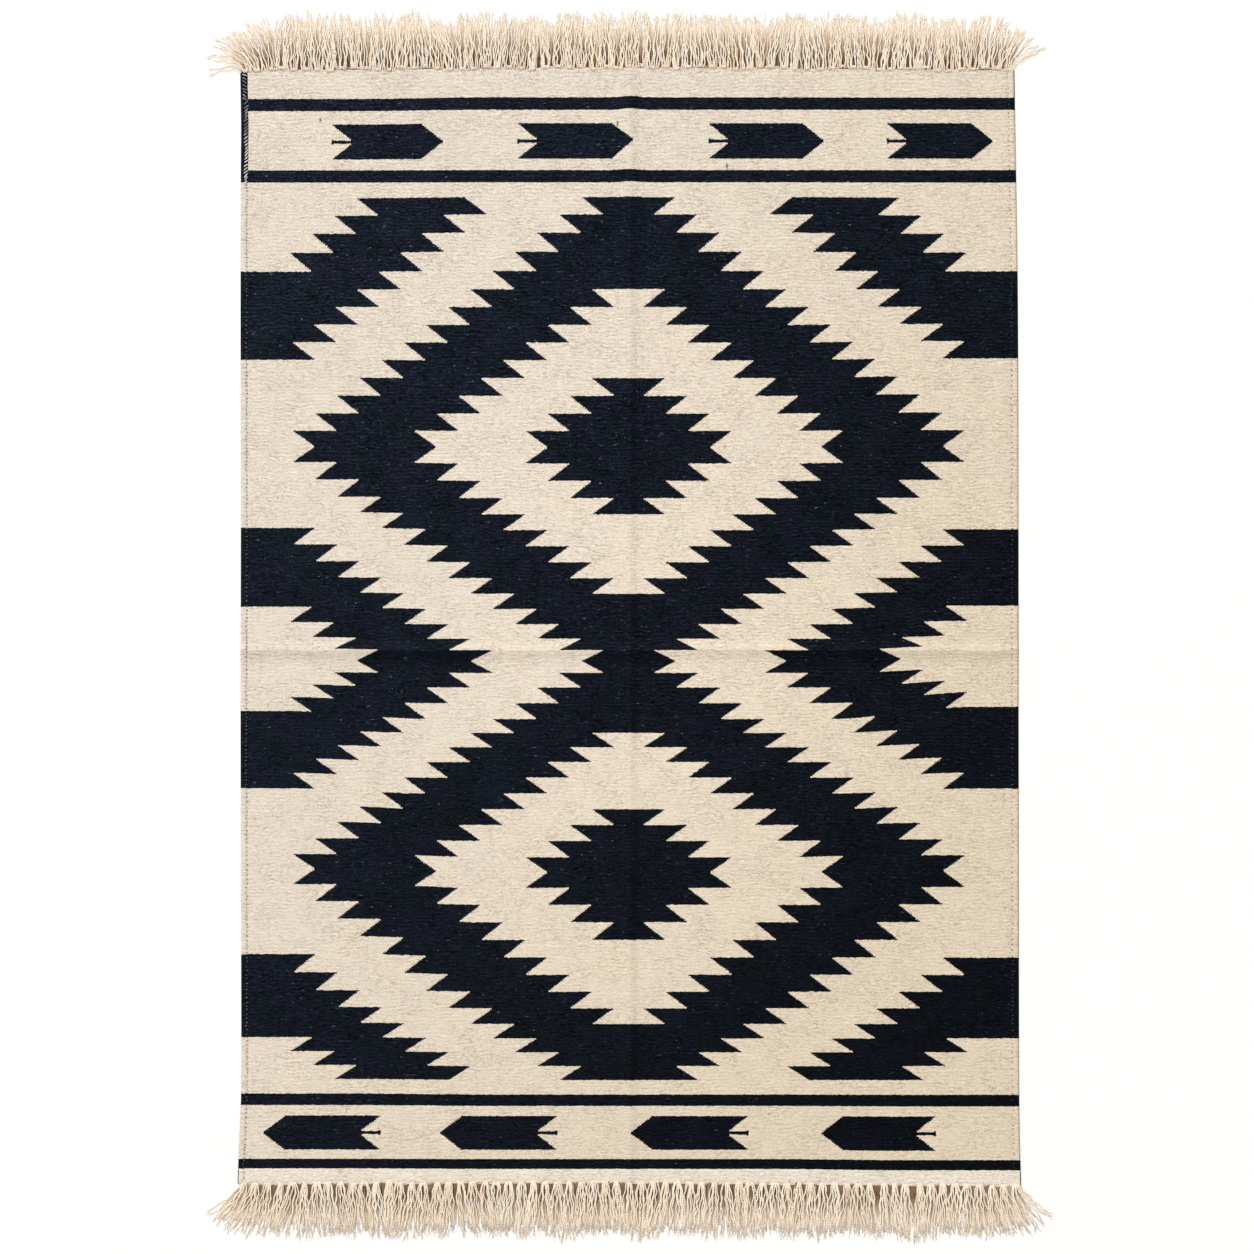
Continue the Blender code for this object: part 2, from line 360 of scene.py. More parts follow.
# What chance leaves open for a yarn: how deep under the cloth's edge it starts, the wavelength of
# its crimp, how far its heading and its tip stray, and how much longer than its tassel it is
ROOT_DEPTHS = (0.0015, 0.0030)
CRIMP_LENGTHS = (0.022, 0.046)
HEADING_STRAY = math.radians(1.6)
TIP_STRAY = 0.0026
YARN_LONGER = (-0.16, 0.015)
# How far the two halves of a parted tassel lie apart, and the room between two gathers of tips
# with the share of the way to its middle that the tips are drawn
PARTINGS = (0.0010, 0.0026)
GATHERS, GATHER_SHARE = (0.030, 0.120), 0.19
# How finely the tassels' yarns, the low yarns between them, the wisps at the tips and the twined
# cord are modelled, and how flat all of them lie
YARN_POINTS, YARN_SIDES = 10, 6
UNDER_POINTS, UNDER_SIDES = 6, 4
WISP_POINTS, WISP_SIDES = 4, 3
CORD_POINTS, CORD_SIDES = 1000, 5
FLATTENED = 0.86
# Each yarn's plies come apart into wisps: how many, how far back from its tip they start and how
# far past it they reach, how far aside they lean, and their radii from start to end
WISPS_PER_YARN = 4
WISP_ROOT = 0.007
WISP_REACHES = (0.002, 0.0140)
WISP_LEAN = 0.0022
WISP_RADII = (0.00095, 0.00070, 0.00024)
# One turn of the cord, a strand's radius, and the strips of the yarns' map that its strands take
CORD_TURN = 0.0090
CORD_RADIUS = 0.0010
CORD_STRIPS = (5, 8)
# How pale the yarns at the corners look, as a place along a yarn, and how far in that reaches
OPEN_WAY = 0.92
OPEN_REACH = 0.022

# The strips of the yarns' own map: each strip is one yarn's worth of colour, and yarns share
# them. The yarns on top of a tassel have the first strips, from warm to pale, those inside it
# the next ones, and the loose ones between two tassels the last
TOP_STRIPS = 12
INNER_STRIPS = 6
UNDER_STRIPS = 6
STRIPS = TOP_STRIPS + INNER_STRIPS + UNDER_STRIPS

# ---------------------------------------------------------------- small helpers


def to_linear(hex_colour):
    """Turn an sRGB hex colour into the linear values that Blender works in."""
    shares = [int(hex_colour[i : i + 2], 16) / 255 for i in (1, 3, 5)]
    return tuple(s / 12.92 if s <= 0.04045 else ((s + 0.055) / 1.055) ** 2.4 for s in shares)


def fill_sockets(sockets, values):
    """Link each socket to a node's first output in use or to a socket, or give it its value."""
    for socket, value in zip(sockets, values):
        if isinstance(value, bpy.types.Node):
            value = next(output for output in value.outputs if output.enabled)
        if isinstance(value, bpy.types.NodeSocket):
            socket.id_data.links.new(value, socket)
        elif value is not None:
            # A colour is opaque
            opaque = socket.type == "RGBA" and len(value) == 3
            socket.default_value = (*value, 1) if opaque else value


def add_node(tree, kind, *inputs, **settings):
    """Add a shader node, set it up, and link or fill the inputs that it then uses, in order.

    A kind in capitals is an operation of the Math node. In any other, what stands after a dot is
    its operation too, or the type of its data.
    """
    kind, _, mode = ("Math." + kind if kind.isupper() else kind).partition(".")
    node = tree.nodes.new("ShaderNode" + kind)
    if mode:
        settings["data_type" if kind == "Mix" else "operation"] = mode
    for name, value in settings.items():
        setattr(node, name, value)
    fill_sockets([socket for socket in node.inputs if socket.enabled], inputs)
    return node


def read_smooth(rows, key, column, at):
    """Read a column of a table, at many places at once, on a smooth curve through its rows."""
    keys = np.array([getattr(row, key) for row in rows], float)
    values = np.array([getattr(row, column) for row in rows], float)
    at = np.clip(at, keys[0], keys[-1])
    low = np.clip(np.searchsorted(keys, at, side="right") - 1, 0, len(keys) - 2)
    before, after = np.maximum(low - 1, 0), np.minimum(low + 2, len(keys) - 1)
    span = keys[low + 1] - keys[low]
    share = (at - keys[low]) / span
    lead = (values[low + 1] - values[before]) * span / (keys[low + 1] - keys[before])
    tail = (values[after] - values[low]) * span / (keys[after] - keys[low])
    eased = values[low] + (values[low + 1] - values[low]) * share**2 * (3 - 2 * share)
    return eased + lead * share * (1 - share) ** 2 - tail * share**2 * (1 - share)


def read_straight(rows, key, column, at):
    """Read a column of a table, at many places at once, on straight lines between its rows."""
    keys = [getattr(row, key) for row in rows]
    return np.interp(at, keys, [getattr(row, column) for row in rows])


def ridge(distance, reach):
    """Height share of a soft ridge at a distance from its crest."""
    return (1 - np.minimum(np.abs(distance) / reach, 1) ** 2) ** 2


def ease(share):
    """Rise smoothly from 0 to 1."""
    share = np.clip(share, 0, 1)
    return share**2 * (3 - 2 * share)


def wave(place, length, phase=0):
    """Height of a wave of this length, between -1 and 1."""
    return np.sin(math.tau * place / length + phase)


def cloth_middle():
    """Find where the CAD cloth's even rectangle has its middle, from the box of the solid."""
    low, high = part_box("woven_panel")
    flare, bow = SIDE_STATIONS[0].left, END_STATIONS[2].high
    return Vector((low.x + HALF_WIDTH + flare, high.y - HALF_LENGTH - bow, 0))


def side_shift(across, along):
    """How far the uneven side edges carry a point of the even rectangle sideways."""
    left = read_smooth(SIDE_STATIONS, "along", "left", along)
    right = read_smooth(SIDE_STATIONS, "along", "right", along)
    return np.where(across < 0, left, right) * across / HALF_WIDTH


def end_edge(across, side):
    """Place of the cloth's end edge, along the cloth, at many places across it."""
    low, high = (read_smooth(END_STATIONS, "across", end, across) for end in ("low", "high"))
    return side * (HALF_LENGTH + np.where(np.asarray(side) > 0, high, low))


def start_afresh(name):
    """Deselect everything, and remove an earlier piece of this name with its mesh."""
    bpy.ops.object.select_all(action="DESELECT")
    old = bpy.data.objects.get(name)
    if old:
        mesh = old.data
        bpy.data.objects.remove(old)
        bpy.data.meshes.remove(mesh)


def name_piece(name):
    """Name the object that was just added, and its mesh."""
    piece = bpy.context.object
    piece.name = piece.data.name = name
    return piece


def finish_piece(piece, material):
    """Put a finish on a piece, and let it ride with the rug."""
    piece.data.materials.clear()
    piece.data.materials.append(material)
    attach(piece, "root")


def read_values(items, name, width=1, kind=np.float32):
    """Read one property of all the items of a mesh, a row for each where it has several parts."""
    values = np.empty(len(items) * width, kind)
    items.foreach_get(name, values)
    return values.reshape(-1, width) if width > 1 else values


def write_values(items, name, values, kind=np.float32):
    """Write one property of all the items of a mesh."""
    items.foreach_set(name, np.ascontiguousarray(values, kind).ravel())


def write_map(mesh, spots):
    """Give a mesh its own map instead of any other, from a spot for each face corner."""
    while mesh.uv_layers:
        mesh.uv_layers.remove(mesh.uv_layers[0])
    write_values(mesh.uv_layers.new(name="OFBake").data, "uv", spots)


def fill_mesh(mesh, points, corners, sizes, spots=None):
    """Fill a mesh with points and faces, given by their corners in a row and by their sizes."""
    mesh.clear_geometry()
    mesh.vertices.add(len(points))
    write_values(mesh.vertices, "co", points)
    mesh.loops.add(len(corners))
    write_values(mesh.loops, "vertex_index", corners, np.int32)
    mesh.polygons.add(len(sizes))
    write_values(mesh.polygons, "loop_start", np.cumsum(sizes) - sizes, np.int32)
    mesh.update(calc_edges=True)
    if spots is not None:
        write_map(mesh, spots)
    mesh.validate()


def smooth_outside():
    """Turn the active piece's faces outwards, and shade it smooth."""
    bpy.ops.object.mode_set(mode="EDIT")
    bpy.ops.mesh.select_all(action="SELECT")
    bpy.ops.mesh.normals_make_consistent(inside=False)
    bpy.ops.object.mode_set(mode="OBJECT")
    bpy.ops.object.shade_smooth()


def start_material(name):
    """Start a finish afresh, and give its material, its shader and what adds a node to it."""
    old = bpy.data.materials.get(name)
    if old:
        bpy.data.materials.remove(old)
    material = bpy.data.materials.new(name)
    material.use_nodes = True
    tree = material.node_tree
    return material, tree.nodes["Principled BSDF"], partial(add_node, tree)


def finish_shader(shader, inputs):
    """Link or fill the shader's own sockets, given by name."""
    fill_sockets([shader.inputs[name] for name in inputs], inputs.values())


# ---------------------------------------------------------------- what a user may change

LENGTH = {"precision": 4, "unit": "LENGTH"}
COLOUR = {"subtype": "COLOR", "min": 0, "max": 1}


class RugCloth(bpy.types.PropertyGroup):
    """Sizes of the woven cloth"""

    thickness: FloatProperty(
        name="Thickness", description="How thick the double cloth is away from its hems",
        default=0.0035, min=0.0025, max=0.0045, **LENGTH,
    )
    crease: FloatProperty(
        name="Crease", description="How high the folding creases stand",
        default=0.0022, min=0.0, max=0.003, **LENGTH,
    )
    cockle: FloatProperty(
        name="Cockle", description="How far the cloth lies uneven on the floor",
        default=0.0005, min=0.0, max=0.001, **LENGTH,
    )
    grid: FloatProperty(
        name="Mesh spacing", description="Spacing of the cloth's mesh across its width",
        default=0.012, min=0.008, max=0.05, precision=3, unit="LENGTH",
    )


class RugFringe(bpy.types.PropertyGroup):
    """Sizes of the fringe yarns"""

    yarns: IntProperty(
        name="Yarns on top", description="How many warp yarns lie on top in one tassel",
        default=7, min=5, max=12,
    )
    inner_yarns: IntProperty(
        name="Yarns inside", description="How many warp yarns lie low in one tassel",
        default=4, min=3, max=8,
    )
    under_yarns: IntProperty(
        name="Yarns behind", description="How many loose yarns lie low between two tassels",
        default=9, min=0, max=12,
    )
    thickness: FloatProperty(
        name="Yarn thickness", description="How thick one fringe yarn is",
        default=0.0028, min=0.0015, max=0.0040, **LENGTH,
    )
    kink: FloatProperty(
        name="Kink", description="How far a yarn wavers to each side of its line",
        default=0.0018, min=0.0, max=0.003, **LENGTH,
    )


class RugColours(bpy.types.PropertyGroup):
    """Colours of the rug"""

    cream: FloatVectorProperty(
        name="Cream weft", description="Unbleached cotton of the ground",
        default=to_linear("#F3E7D6"), **COLOUR,
    )
    navy: FloatVectorProperty(
        name="Navy weft", description="Dark dyed cotton of the pattern",
        default=to_linear("#10151E"), **COLOUR,
    )
    yarn: FloatVectorProperty(
        name="Fringe yarn", description="Unbleached cotton of the warp",
        default=to_linear("#FEF3E1"), **COLOUR,
    )
    left_thread: FloatVectorProperty(
        name="Left hem thread", description="Sewing thread of the left side hem",
        default=to_linear("#857C6C"), **COLOUR,
    )
    right_thread: FloatVectorProperty(
        name="Right hem thread", description="Sewing thread of the right side hem",
        default=to_linear("#5C564C"), **COLOUR,
    )
    overcast: FloatVectorProperty(
        name="Overcast thread", description="Thick thread of the overcast end of the left hem",
        default=to_linear("#F6F0E8"), **COLOUR,
    )


class RugStage(bpy.types.PropertyGroup):
    """The studio round the rug"""

    floor: FloatVectorProperty(
        name="Floor", description="Colour of the plain floor",
        default=to_linear("#8C8C8C"), **COLOUR,
    )
    glow: FloatProperty(
        name="Floor glow", description="Strength of the light that comes up through the floor",
        default=0.75, min=0.0, max=2.0,
    )
    room_light: FloatProperty(
        name="Room light", description="Strength of the even light from all round",
        default=0.59, min=0.0, max=3.0,
    )
    window_light: FloatProperty(
        name="Window light", description="Power of the large soft light, in watts",
        default=19700.0, min=0.0, max=60000.0,
    )
    lens: FloatProperty(
        name="Lens", description="Focal length of the camera, in millimetres",
        default=100.0, min=35.0, max=200.0,
    )


# ---------------------------------------------------------------- finishes


def mark_pattern(node, across, row):
    """Work out where the weft is navy: 1 on the pattern and 0 on the cream ground."""
    # The diagonals climb a few picks at a time, so the row is read in small steps
    climb = node("FLOOR", node("MULTIPLY", row, STEPS_PER_ROW))
    climb = node("ADD", climb, 0.5)
    step = node("DIVIDE", climb, STEPS_PER_ROW)
    middle = sum(LOZENGE_ROWS) / 2
    reach = (LOZENGE_ROWS[1] - LOZENGE_ROWS[0]) / 2
    out = node("ABSOLUTE", node("SUBTRACT", step, middle))
    out = node("ABSOLUTE", node("SUBTRACT", out, reach))
    tooth = node("FLOOR", out)
    # Teeth out from the middle line, slanting back by one tooth over each row
    slant = node("SUBTRACT", node("MULTIPLY_ADD", tooth, 2.0, 1.0), out)
    aside = node("ABSOLUTE", node("SUBTRACT", across, TOOTH_MIDDLE))
    aside = node("DIVIDE", aside, TOOTH_WIDTH)
    teeth = node("ADD", aside, slant)
    side_edge = node("MapRange", row, 0, SIDE_DRIFT_ROWS, SIDE_TEETH + SIDE_DRIFT, SIDE_TEETH)
    # Each band as its sign, whether it lies inside or outside its edge, and the rows it runs over
    bands = (
        (1, "LESS_THAN", LOZENGE_TEETH, "GREATER_THAN", -1),
        (-1, "LESS_THAN", GROUND_TEETH, "LESS_THAN", GROUND_ROWS - 0.5),
        (1, "LESS_THAN", CORE_TEETH, "LESS_THAN", CORE_ROWS - 0.5),
        (1, "GREATER_THAN", side_edge, "GREATER_THAN", SIDE_ROWS - 0.5),
        (-1, "GREATER_THAN", SIDE_GROUND_TEETH, "GREATER_THAN", SIDE_GROUND_ROWS - 0.5),
    )
    navy = 0.0
    for sign, side, edge, rows_side, rows in bands:
        inside = node(side, teeth, edge)
        over = node(rows_side, tooth, rows)
        inside = node("MULTIPLY", inside, sign)
        navy = node("MULTIPLY_ADD", inside, over, navy)
    half = FIELD_LAST_ROW / 2
    field = node("COMPARE", row, half, half)
    navy = node("MULTIPLY", navy, field)
    for place in STRIPE_MIDDLES:
        stripe = node("COMPARE", row, place, 0.5)
        navy = node("ADD", navy, stripe)
    for line in sorted({arrow.row for arrow in ARROWS}):
        off = node("ABSOLUTE", node("SUBTRACT", step, line))
        thin = node("COMPARE", row, line, SHAFT_HALF_ROWS)
        thick = node("COMPARE", row, line, BAR_HALF_ROWS)
        inside = node("LESS_THAN", off, 1.0)
        for arrow in (a for a in ARROWS if a.row == line):
            way = math.copysign(1, arrow.point - arrow.tail)
            back = way / ARROW_NOTCH
            tail = node("MULTIPLY_ADD", across, back, -arrow.tail * back)
            body = node("GREATER_THAN", node("ADD", tail, off), 1.0)
            shaft = node("MULTIPLY", node("GREATER_THAN", tail, 0.0), thin)
            body = node("MAXIMUM", body, shaft)
            bar = node("COMPARE", tail, BAR_SHARE / 2, BAR_SHARE / 2)
            bar = node("MULTIPLY", bar, thick)
            body = node("MAXIMUM", body, bar)
            front = -way / ARROW_HEAD
            head = node("MULTIPLY_ADD", across, front, -arrow.point * front)
            head = node("GREATER_THAN", head, off)
            body = node("MULTIPLY", body, head)
            navy = node("MULTIPLY_ADD", body, inside, navy)
    return navy


def flatwoven_cotton(colours):
    """Finish of the cloth: hand-spun cotton weft beaten down over its warp, cream and dyed navy.

    Matt, with short slubby ribs across the cloth where each pick covers the warp, tone that
    changes from pick to pick, and a little pale lint on the navy.
    """
    material, shader, node = start_material("Flatwoven cotton weft")
    place = node("TexCoord").outputs["Object"]
    loom = node("Attribute", attribute_name="loom").outputs["Vector"]
    loom = node("SeparateXYZ", loom)
    # Hand weaving lets the edges of the pattern waver by under a millimetre, every 7 mm or so
    waver = node("TexNoise", place, 140.0, 4.0, 0.7)
    loom_place = node("VectorMath.MULTIPLY_ADD", waver.outputs["Color"], (0.006, 0.006, 0.0), place)
    waver = node("SeparateColor", waver.outputs["Color"])
    across = node("MULTIPLY_ADD", waver.outputs[0], 0.0044, loom.outputs[0])
    across = node("SUBTRACT", across, 0.0022)
    row = node("MULTIPLY_ADD", waver.outputs[1], 0.19, loom.outputs[1])
    row = node("SUBTRACT", row, 0.095)
    navy = mark_pattern(node, across, row)
    # The back of the cloth, navy here, shows on the left hem's first turn at the far end, and in
    # the rims of the hems close to the cloth's ends
    turned = (
        (across, "LESS_THAN", OVERCAST_INSET - HALF_WIDTH, "LESS_THAN", -1.4),
        (loom.outputs[0], "GREATER_THAN", HEM_RIM, "LESS_THAN", -6.3),
        (node("ABSOLUTE", loom.outputs[0]), "GREATER_THAN", HEM_RIM, "GREATER_THAN", 62.1),
    )
    for place_across, side, edge, rows_side, last_row in turned:
        beyond = node(side, place_across, edge)
        navy = node("MULTIPLY_ADD", beyond, node(rows_side, row, last_row), navy)
    navy = node("MINIMUM", navy, 1.0)
    # The back of a double cloth shows the same pattern with its colours changed over
    navy = node("ABSOLUTE", node("SUBTRACT", navy, loom.outputs[2]))
    navy = node("GREATER_THAN", navy, 0.5)

    # The soft weft lies in short runs that wander, 10 mm long and 2.5 mm high, so the place is
    # bent before it is stretched. Real picks are finer, and wouldn't show
    bend = node("TexNoise", place, 34.0, 1.5)
    bend = node("VectorMath.MULTIPLY_ADD", bend.outputs["Color"], (0.006, 0.014, 0.0), place)
    run = node("TexNoise", node("VectorMath.MULTIPLY", bend, (96.0, 400.0, 400.0)), 1.0, 2.0, 0.6)
    # Thin creases wander between the runs, as in crepe
    line = node("TexNoise", node("VectorMath.MULTIPLY", bend, (62.0, 230.0, 230.0)), 1.0, 1.5)
    line = node("ABSOLUTE", node("SUBTRACT", line, 0.48))
    # Some patches are more crinkled than others, and so are the last picks at each end
    patch = node("MapRange", node("TexNoise", place, 19.0, 2.0), 0.35, 0.6, 0.94, 0.68)
    last = node("ABSOLUTE", node("SUBTRACT", row, (FIRST_ROW + LAST_ROW) / 2))
    half = (LAST_ROW - FIRST_ROW) / 2
    last = node("MapRange", last, half - 0.4, half - 0.1, 1.0, 0.75)
    patch = node("MULTIPLY", patch, last)
    line = node("MapRange", line, 0.0, 0.05, patch, 1.0)
    # Ribs of a few picks beaten together, 6.6 mm apart, and the puckers between two warp ends
    spot = node("SeparateXYZ", bend)
    rib = node("SINE", node("MULTIPLY", spot.outputs[1], math.tau / 0.0066))
    clear = node("TexNoise", node("VectorMath.MULTIPLY", place, (95.0, 150.0, 150.0)), 1.0, 1.0)
    clear = node("MapRange", clear, 0.38, 0.62)
    rib = node("MULTIPLY", rib, clear)
    pucker = node("VectorMath.MULTIPLY", place, (480.0, 760.0, 760.0))
    pucker = node("TexNoise", pucker, 1.0, 2.0, 0.6)
    relief = node("MULTIPLY_ADD", rib, 0.5, node("MULTIPLY_ADD", run, 3.0, line))
    relief = node("MULTIPLY_ADD", pucker, 5.0, relief)

    # Colour: tone from the ribs, the runs and the puckers, and a slow drift over the cloth
    tone = node("MapRange", run, 0.32, 0.68, 0.965, 1.10)
    grain = node("MapRange", pucker, 0.3, 0.7, 0.84, 1.24)
    tone = node("MULTIPLY", tone, grain)
    grain = node("MapRange", rib, -1.0, 1.0, 0.90, 1.10)
    tone = node("MULTIPLY", tone, grain)
    # Towards the near left corner the cloth is worn a little smoother
    worn = node("VectorMath.DOT_PRODUCT", place, (-0.35, -0.5, 0.0))
    worn = node("MapRange", worn, -0.1, 0.2, 0.0, 0.28)
    tone = node("Mix.FLOAT", worn, tone, 1.07)
    # Each fold is painted lighter before its crest and painted darker past it, as light and shade
    # added to its ridge's own shading: how much lighter and darker, and how far past the crest the
    # painted shade starts to fade and ends. The bent place lies 3 mm to the right and 7 mm up on
    # average
    middle = cloth_middle()
    folds = (
        (0, 1, middle.x + CREASE_ACROSS + 0.003, 0.01, 0.06, 0.006, 0.020),
        (1, -1, middle.y + CREASE_ALONG + 0.007, 0.05, 0.08, 0.014, 0.034),
    )
    for axis, way, crest, lit_flank, shaded_flank, fades, ends in folds:
        past = node("MULTIPLY_ADD", spot.outputs[axis], way, -way * crest)
        fold_shading = node("MapRange", past, -0.001, 0.004, lit_flank, -shaded_flank)
        fading = node("MapRange", past, fades, ends, 1.0, 0.0)
        fold_shading = node("MULTIPLY", fold_shading, fading)
        fading = node("MapRange", past, -0.022, -0.006)
        fold_shading = node("MULTIPLY_ADD", fold_shading, fading, 1.0)
        tone = node("MULTIPLY", tone, fold_shading)
    cloud = node("TexNoise", place, 11.0, 3.0)
    drift = node("MapRange", cloud, 0.3, 0.7, 0.975, 1.02)
    tone = node("MULTIPLY", tone, drift)
    # The middle is made lighter than the rest, and so are the last picks at the near end
    lighter_middle = node("VectorMath.LENGTH", node("VectorMath.MULTIPLY", place, (1.5, 1.0, 0.0)))
    lighter_middle = node("MapRange", lighter_middle, 0.15, 0.85, 1.062, 1.0)
    plain = tone
    tone = node("MULTIPLY", tone, lighter_middle)
    lighter_end = node("MapRange", row, *LAST_LOT, 1.0, 1.06)
    tone = node("MULTIPLY", tone, lighter_end)
    # The right selvedge is painted darker, as shade where its edge turns away from the light
    edge_shade = node("MapRange", loom.outputs[0], 0.6964, 0.6985, 1.0, 0.74)
    tone = node("MULTIPLY", tone, edge_shade)
    # Painted light: towards the right and the near end the cream is mixed warmer and darker, with
    # random warm patches in it too, and the navy grows darker as its painted sheen fades. The last
    # picks are left out of the cream's mix
    painted_falloff = node("VectorMath.DOT_PRODUCT", place, (0.5, -0.3, 0.0))
    tint_and_falloff = node("MapRange", node("MULTIPLY_ADD", cloud, 0.6, painted_falloff), 0.0, 0.7)
    near = node("MapRange", row, *LAST_LOT, 1.0, 0.0)
    tint_and_falloff = node("MULTIPLY", tint_and_falloff, near)
    cream = node("Mix.RGBA", tint_and_falloff, colours.cream, to_linear("#EDDDC4"))
    # The weave's darker tones, partly its own tone and partly painted shade in its hollows, are
    # mixed warmer, and its thin creases are painted dark brown as their shade
    hollow_shade = node("MapRange", tone, 0.78, 1.02, 0.50, 0.0)
    cream = node("Mix.RGBA", hollow_shade, cream, to_linear("#DCC098"))
    crease = node("MULTIPLY", node("SUBTRACT", 1.0, line), 1.4)
    cream = node("Mix.RGBA", crease, cream, to_linear("#8E7453"))
    fleck = node("TexNoise", node("VectorMath.MULTIPLY", bend, (120.0, 420.0, 420.0)), 1.0, 1.0)
    husk = node("MapRange", fleck, 0.76, 0.84, 0.0, 0.8)
    cream = node("Mix.RGBA", husk, cream, to_linear("#8E7B62"))
    for spot_x, spot_y in SLUBS:
        slub = node("VectorMath.SUBTRACT", loom_place, (spot_x, spot_y, 0.0))
        slub = node("VectorMath.LENGTH", node("VectorMath.MULTIPLY", slub, (1.0, 0.4, 0.0)))
        slub = node("MapRange", slub, 0.0008, 0.0026, 0.85, 0.0)
        cream = node("Mix.RGBA", slub, cream, to_linear("#3A3632"))
    # The dye has taken unevenly: patches lean to green, blue and violet
    vat = node("ValToRGB", node("TexNoise", place, 16.0, 2.0))
    stops = vat.color_ramp.elements
    stops[0].position, stops[0].color = 0.36, (*to_linear("#0E151A"), 1)
    stops[1].position, stops[1].color = 0.64, (*to_linear("#12141E"), 1)
    stops.new(0.5).color = (*colours.navy, 1)
    lint = node("MapRange", fleck, 0.72, 0.84, 0.0, 0.6)
    dyed = node("Mix.RGBA", lint, vat, to_linear("#747D8C"))
    # The navy's tone takes the thin creases' painted shade as well
    dark_tone = node("POWER", node("MULTIPLY", plain, line), 5.8)
    # Painted sheen on the navy, brighter towards the far left and darker towards the near right
    painted_haze = node("MapRange", painted_falloff, -0.5, 0.5, 1.42, 0.50)
    dark_tone = node("MULTIPLY", dark_tone, painted_haze)
    weft = node("Mix.RGBA", navy, cream, dyed)
    tone = node("Mix.FLOAT", navy, tone, dark_tone)
    colour = node("VectorMath.SCALE", weft, tone)

    rough = node("MapRange", run, 0.3, 0.7, 0.97, 0.86)
    bump = node("Bump", 0.8, 0.0007, None, relief)
    inputs = {
        "Base Color": colour,
        "Roughness": rough,
        "Normal": bump,
        "Specular IOR Level": 0.05,
        "Sheen Weight": 0.015,
        "Sheen Roughness": 0.5,
    }
    finish_shader(shader, inputs)
    return material


def twisted_yarn(colours):
    """Finish of the fringes: soft two-ply cotton, unbleached, with painted shade close to the
    cloth.

    The plies show as faint slanting ridges 4 mm apart, the tone changes from yarn to yarn, each
    yarn is shaded down its sides where it beds on its neighbours, and yarns that lie low between
    two tassels are deep in shade. It reads the yarns' own map only, as yarns share its strips.
    """
    material, shader, node = start_material("Twisted cotton fringe yarn")
    own = node("SeparateXYZ", node("UVMap", uv_map="OFBake"))
    place = node("MULTIPLY", own.outputs[0], STRIPS)
    strip = node("FLOOR", place)
    around = node("FRACT", place)
    along = own.outputs[1]
    # The first strips are the warmest and the palest come last, with some chance in between
    chance = node("TexWhiteNoise", strip, noise_dimensions="1D")
    order = node("FRACT", node("DIVIDE", strip, TOP_STRIPS))
    warmth = node("MapRange", order, 0.0, 1.0, 0.55, 0.0)
    tone = node("MapRange", chance, 0.0, 1.0, 0.95, 1.06)
    # One ply's ridge every 4 mm along a yarn of about 85 mm
    twist = node("MULTIPLY", node("MULTIPLY_ADD", along, 21.0, around), math.tau)
    twist = node("SINE", twist)
    groove = node("MapRange", twist, -1.0, 0.6, 0.95, 1.0)
    tone = node("MULTIPLY", tone, groove)
    fibre = node("CombineXYZ", place, node("MULTIPLY", along, 14.0))
    fibre = node("TexNoise", fibre, 1.6, 3.0)
    fibre_tone = node("MapRange", fibre, 0.3, 0.7, 0.94, 1.04)
    tone = node("MULTIPLY", tone, fibre_tone)
    # Shade: down the sides of each yarn, and between the roots, deepest on the lowest yarns
    crest = node("SINE", node("MULTIPLY", around, math.tau))
    side = node("MapRange", crest, -0.1, 0.65, 0.32, 1.0)
    # The sides' shade fades towards the tips, where the yarns lie apart, and close to the knot
    for fading in ((0.5, 0.92, 0.0, 0.85), (0.05, 0.24, 0.35, 0.0)):
        side = node("Mix.FLOAT", node("MapRange", along, *fading), side, 1.0)
    light = node("MapRange", along, 0.0, 0.12, 0.96, 1.0)
    layers = ((TOP_STRIPS, 0.08, 0.85), (TOP_STRIPS + INNER_STRIPS, 0.28, 0.80))
    for first, dark_to, pale_from in layers:
        lower = node("GREATER_THAN", strip, first - 0.5)
        deep = node("MapRange", along, dark_to, pale_from, 0.06, 0.95)
        light = node("Mix.FLOAT", lower, light, deep)
    light = node("MULTIPLY", light, side)
    pale = node("MapRange", along, 0.55, 0.95, 0.0, 0.9)
    colour = node("Mix.RGBA", warmth, colours.yarn, to_linear("#F4D8B6"))
    colour = node("Mix.RGBA", pale, colour, to_linear("#FCEAD3"))
    colour = node("VectorMath.SCALE", colour, tone)
    # Light that comes back from the yarns beside it makes half shade warmer than either end
    shade = node("ValToRGB", light)
    stops = shade.color_ramp.elements
    stops[0].color, stops[1].color = (*to_linear("#6A4320"), 1), (1, 1, 1, 1)
    stops.new(0.5).color = (*to_linear("#CCBFB3"), 1)
    colour = node("VectorMath.MULTIPLY", colour, shade)
    bump = node("Bump", 0.4, 0.0004, None, twist)
    rough = node("MapRange", fibre, 0.0, 1.0, 0.98, 0.86)
    inputs = {
        "Base Color": colour,
        "Normal": bump,
        "Roughness": rough,
        "Specular IOR Level": 0.15,
        "Sheen Weight": 0.03,
        "Sheen Roughness": 0.5,
    }
    finish_shader(shader, inputs)
    return material


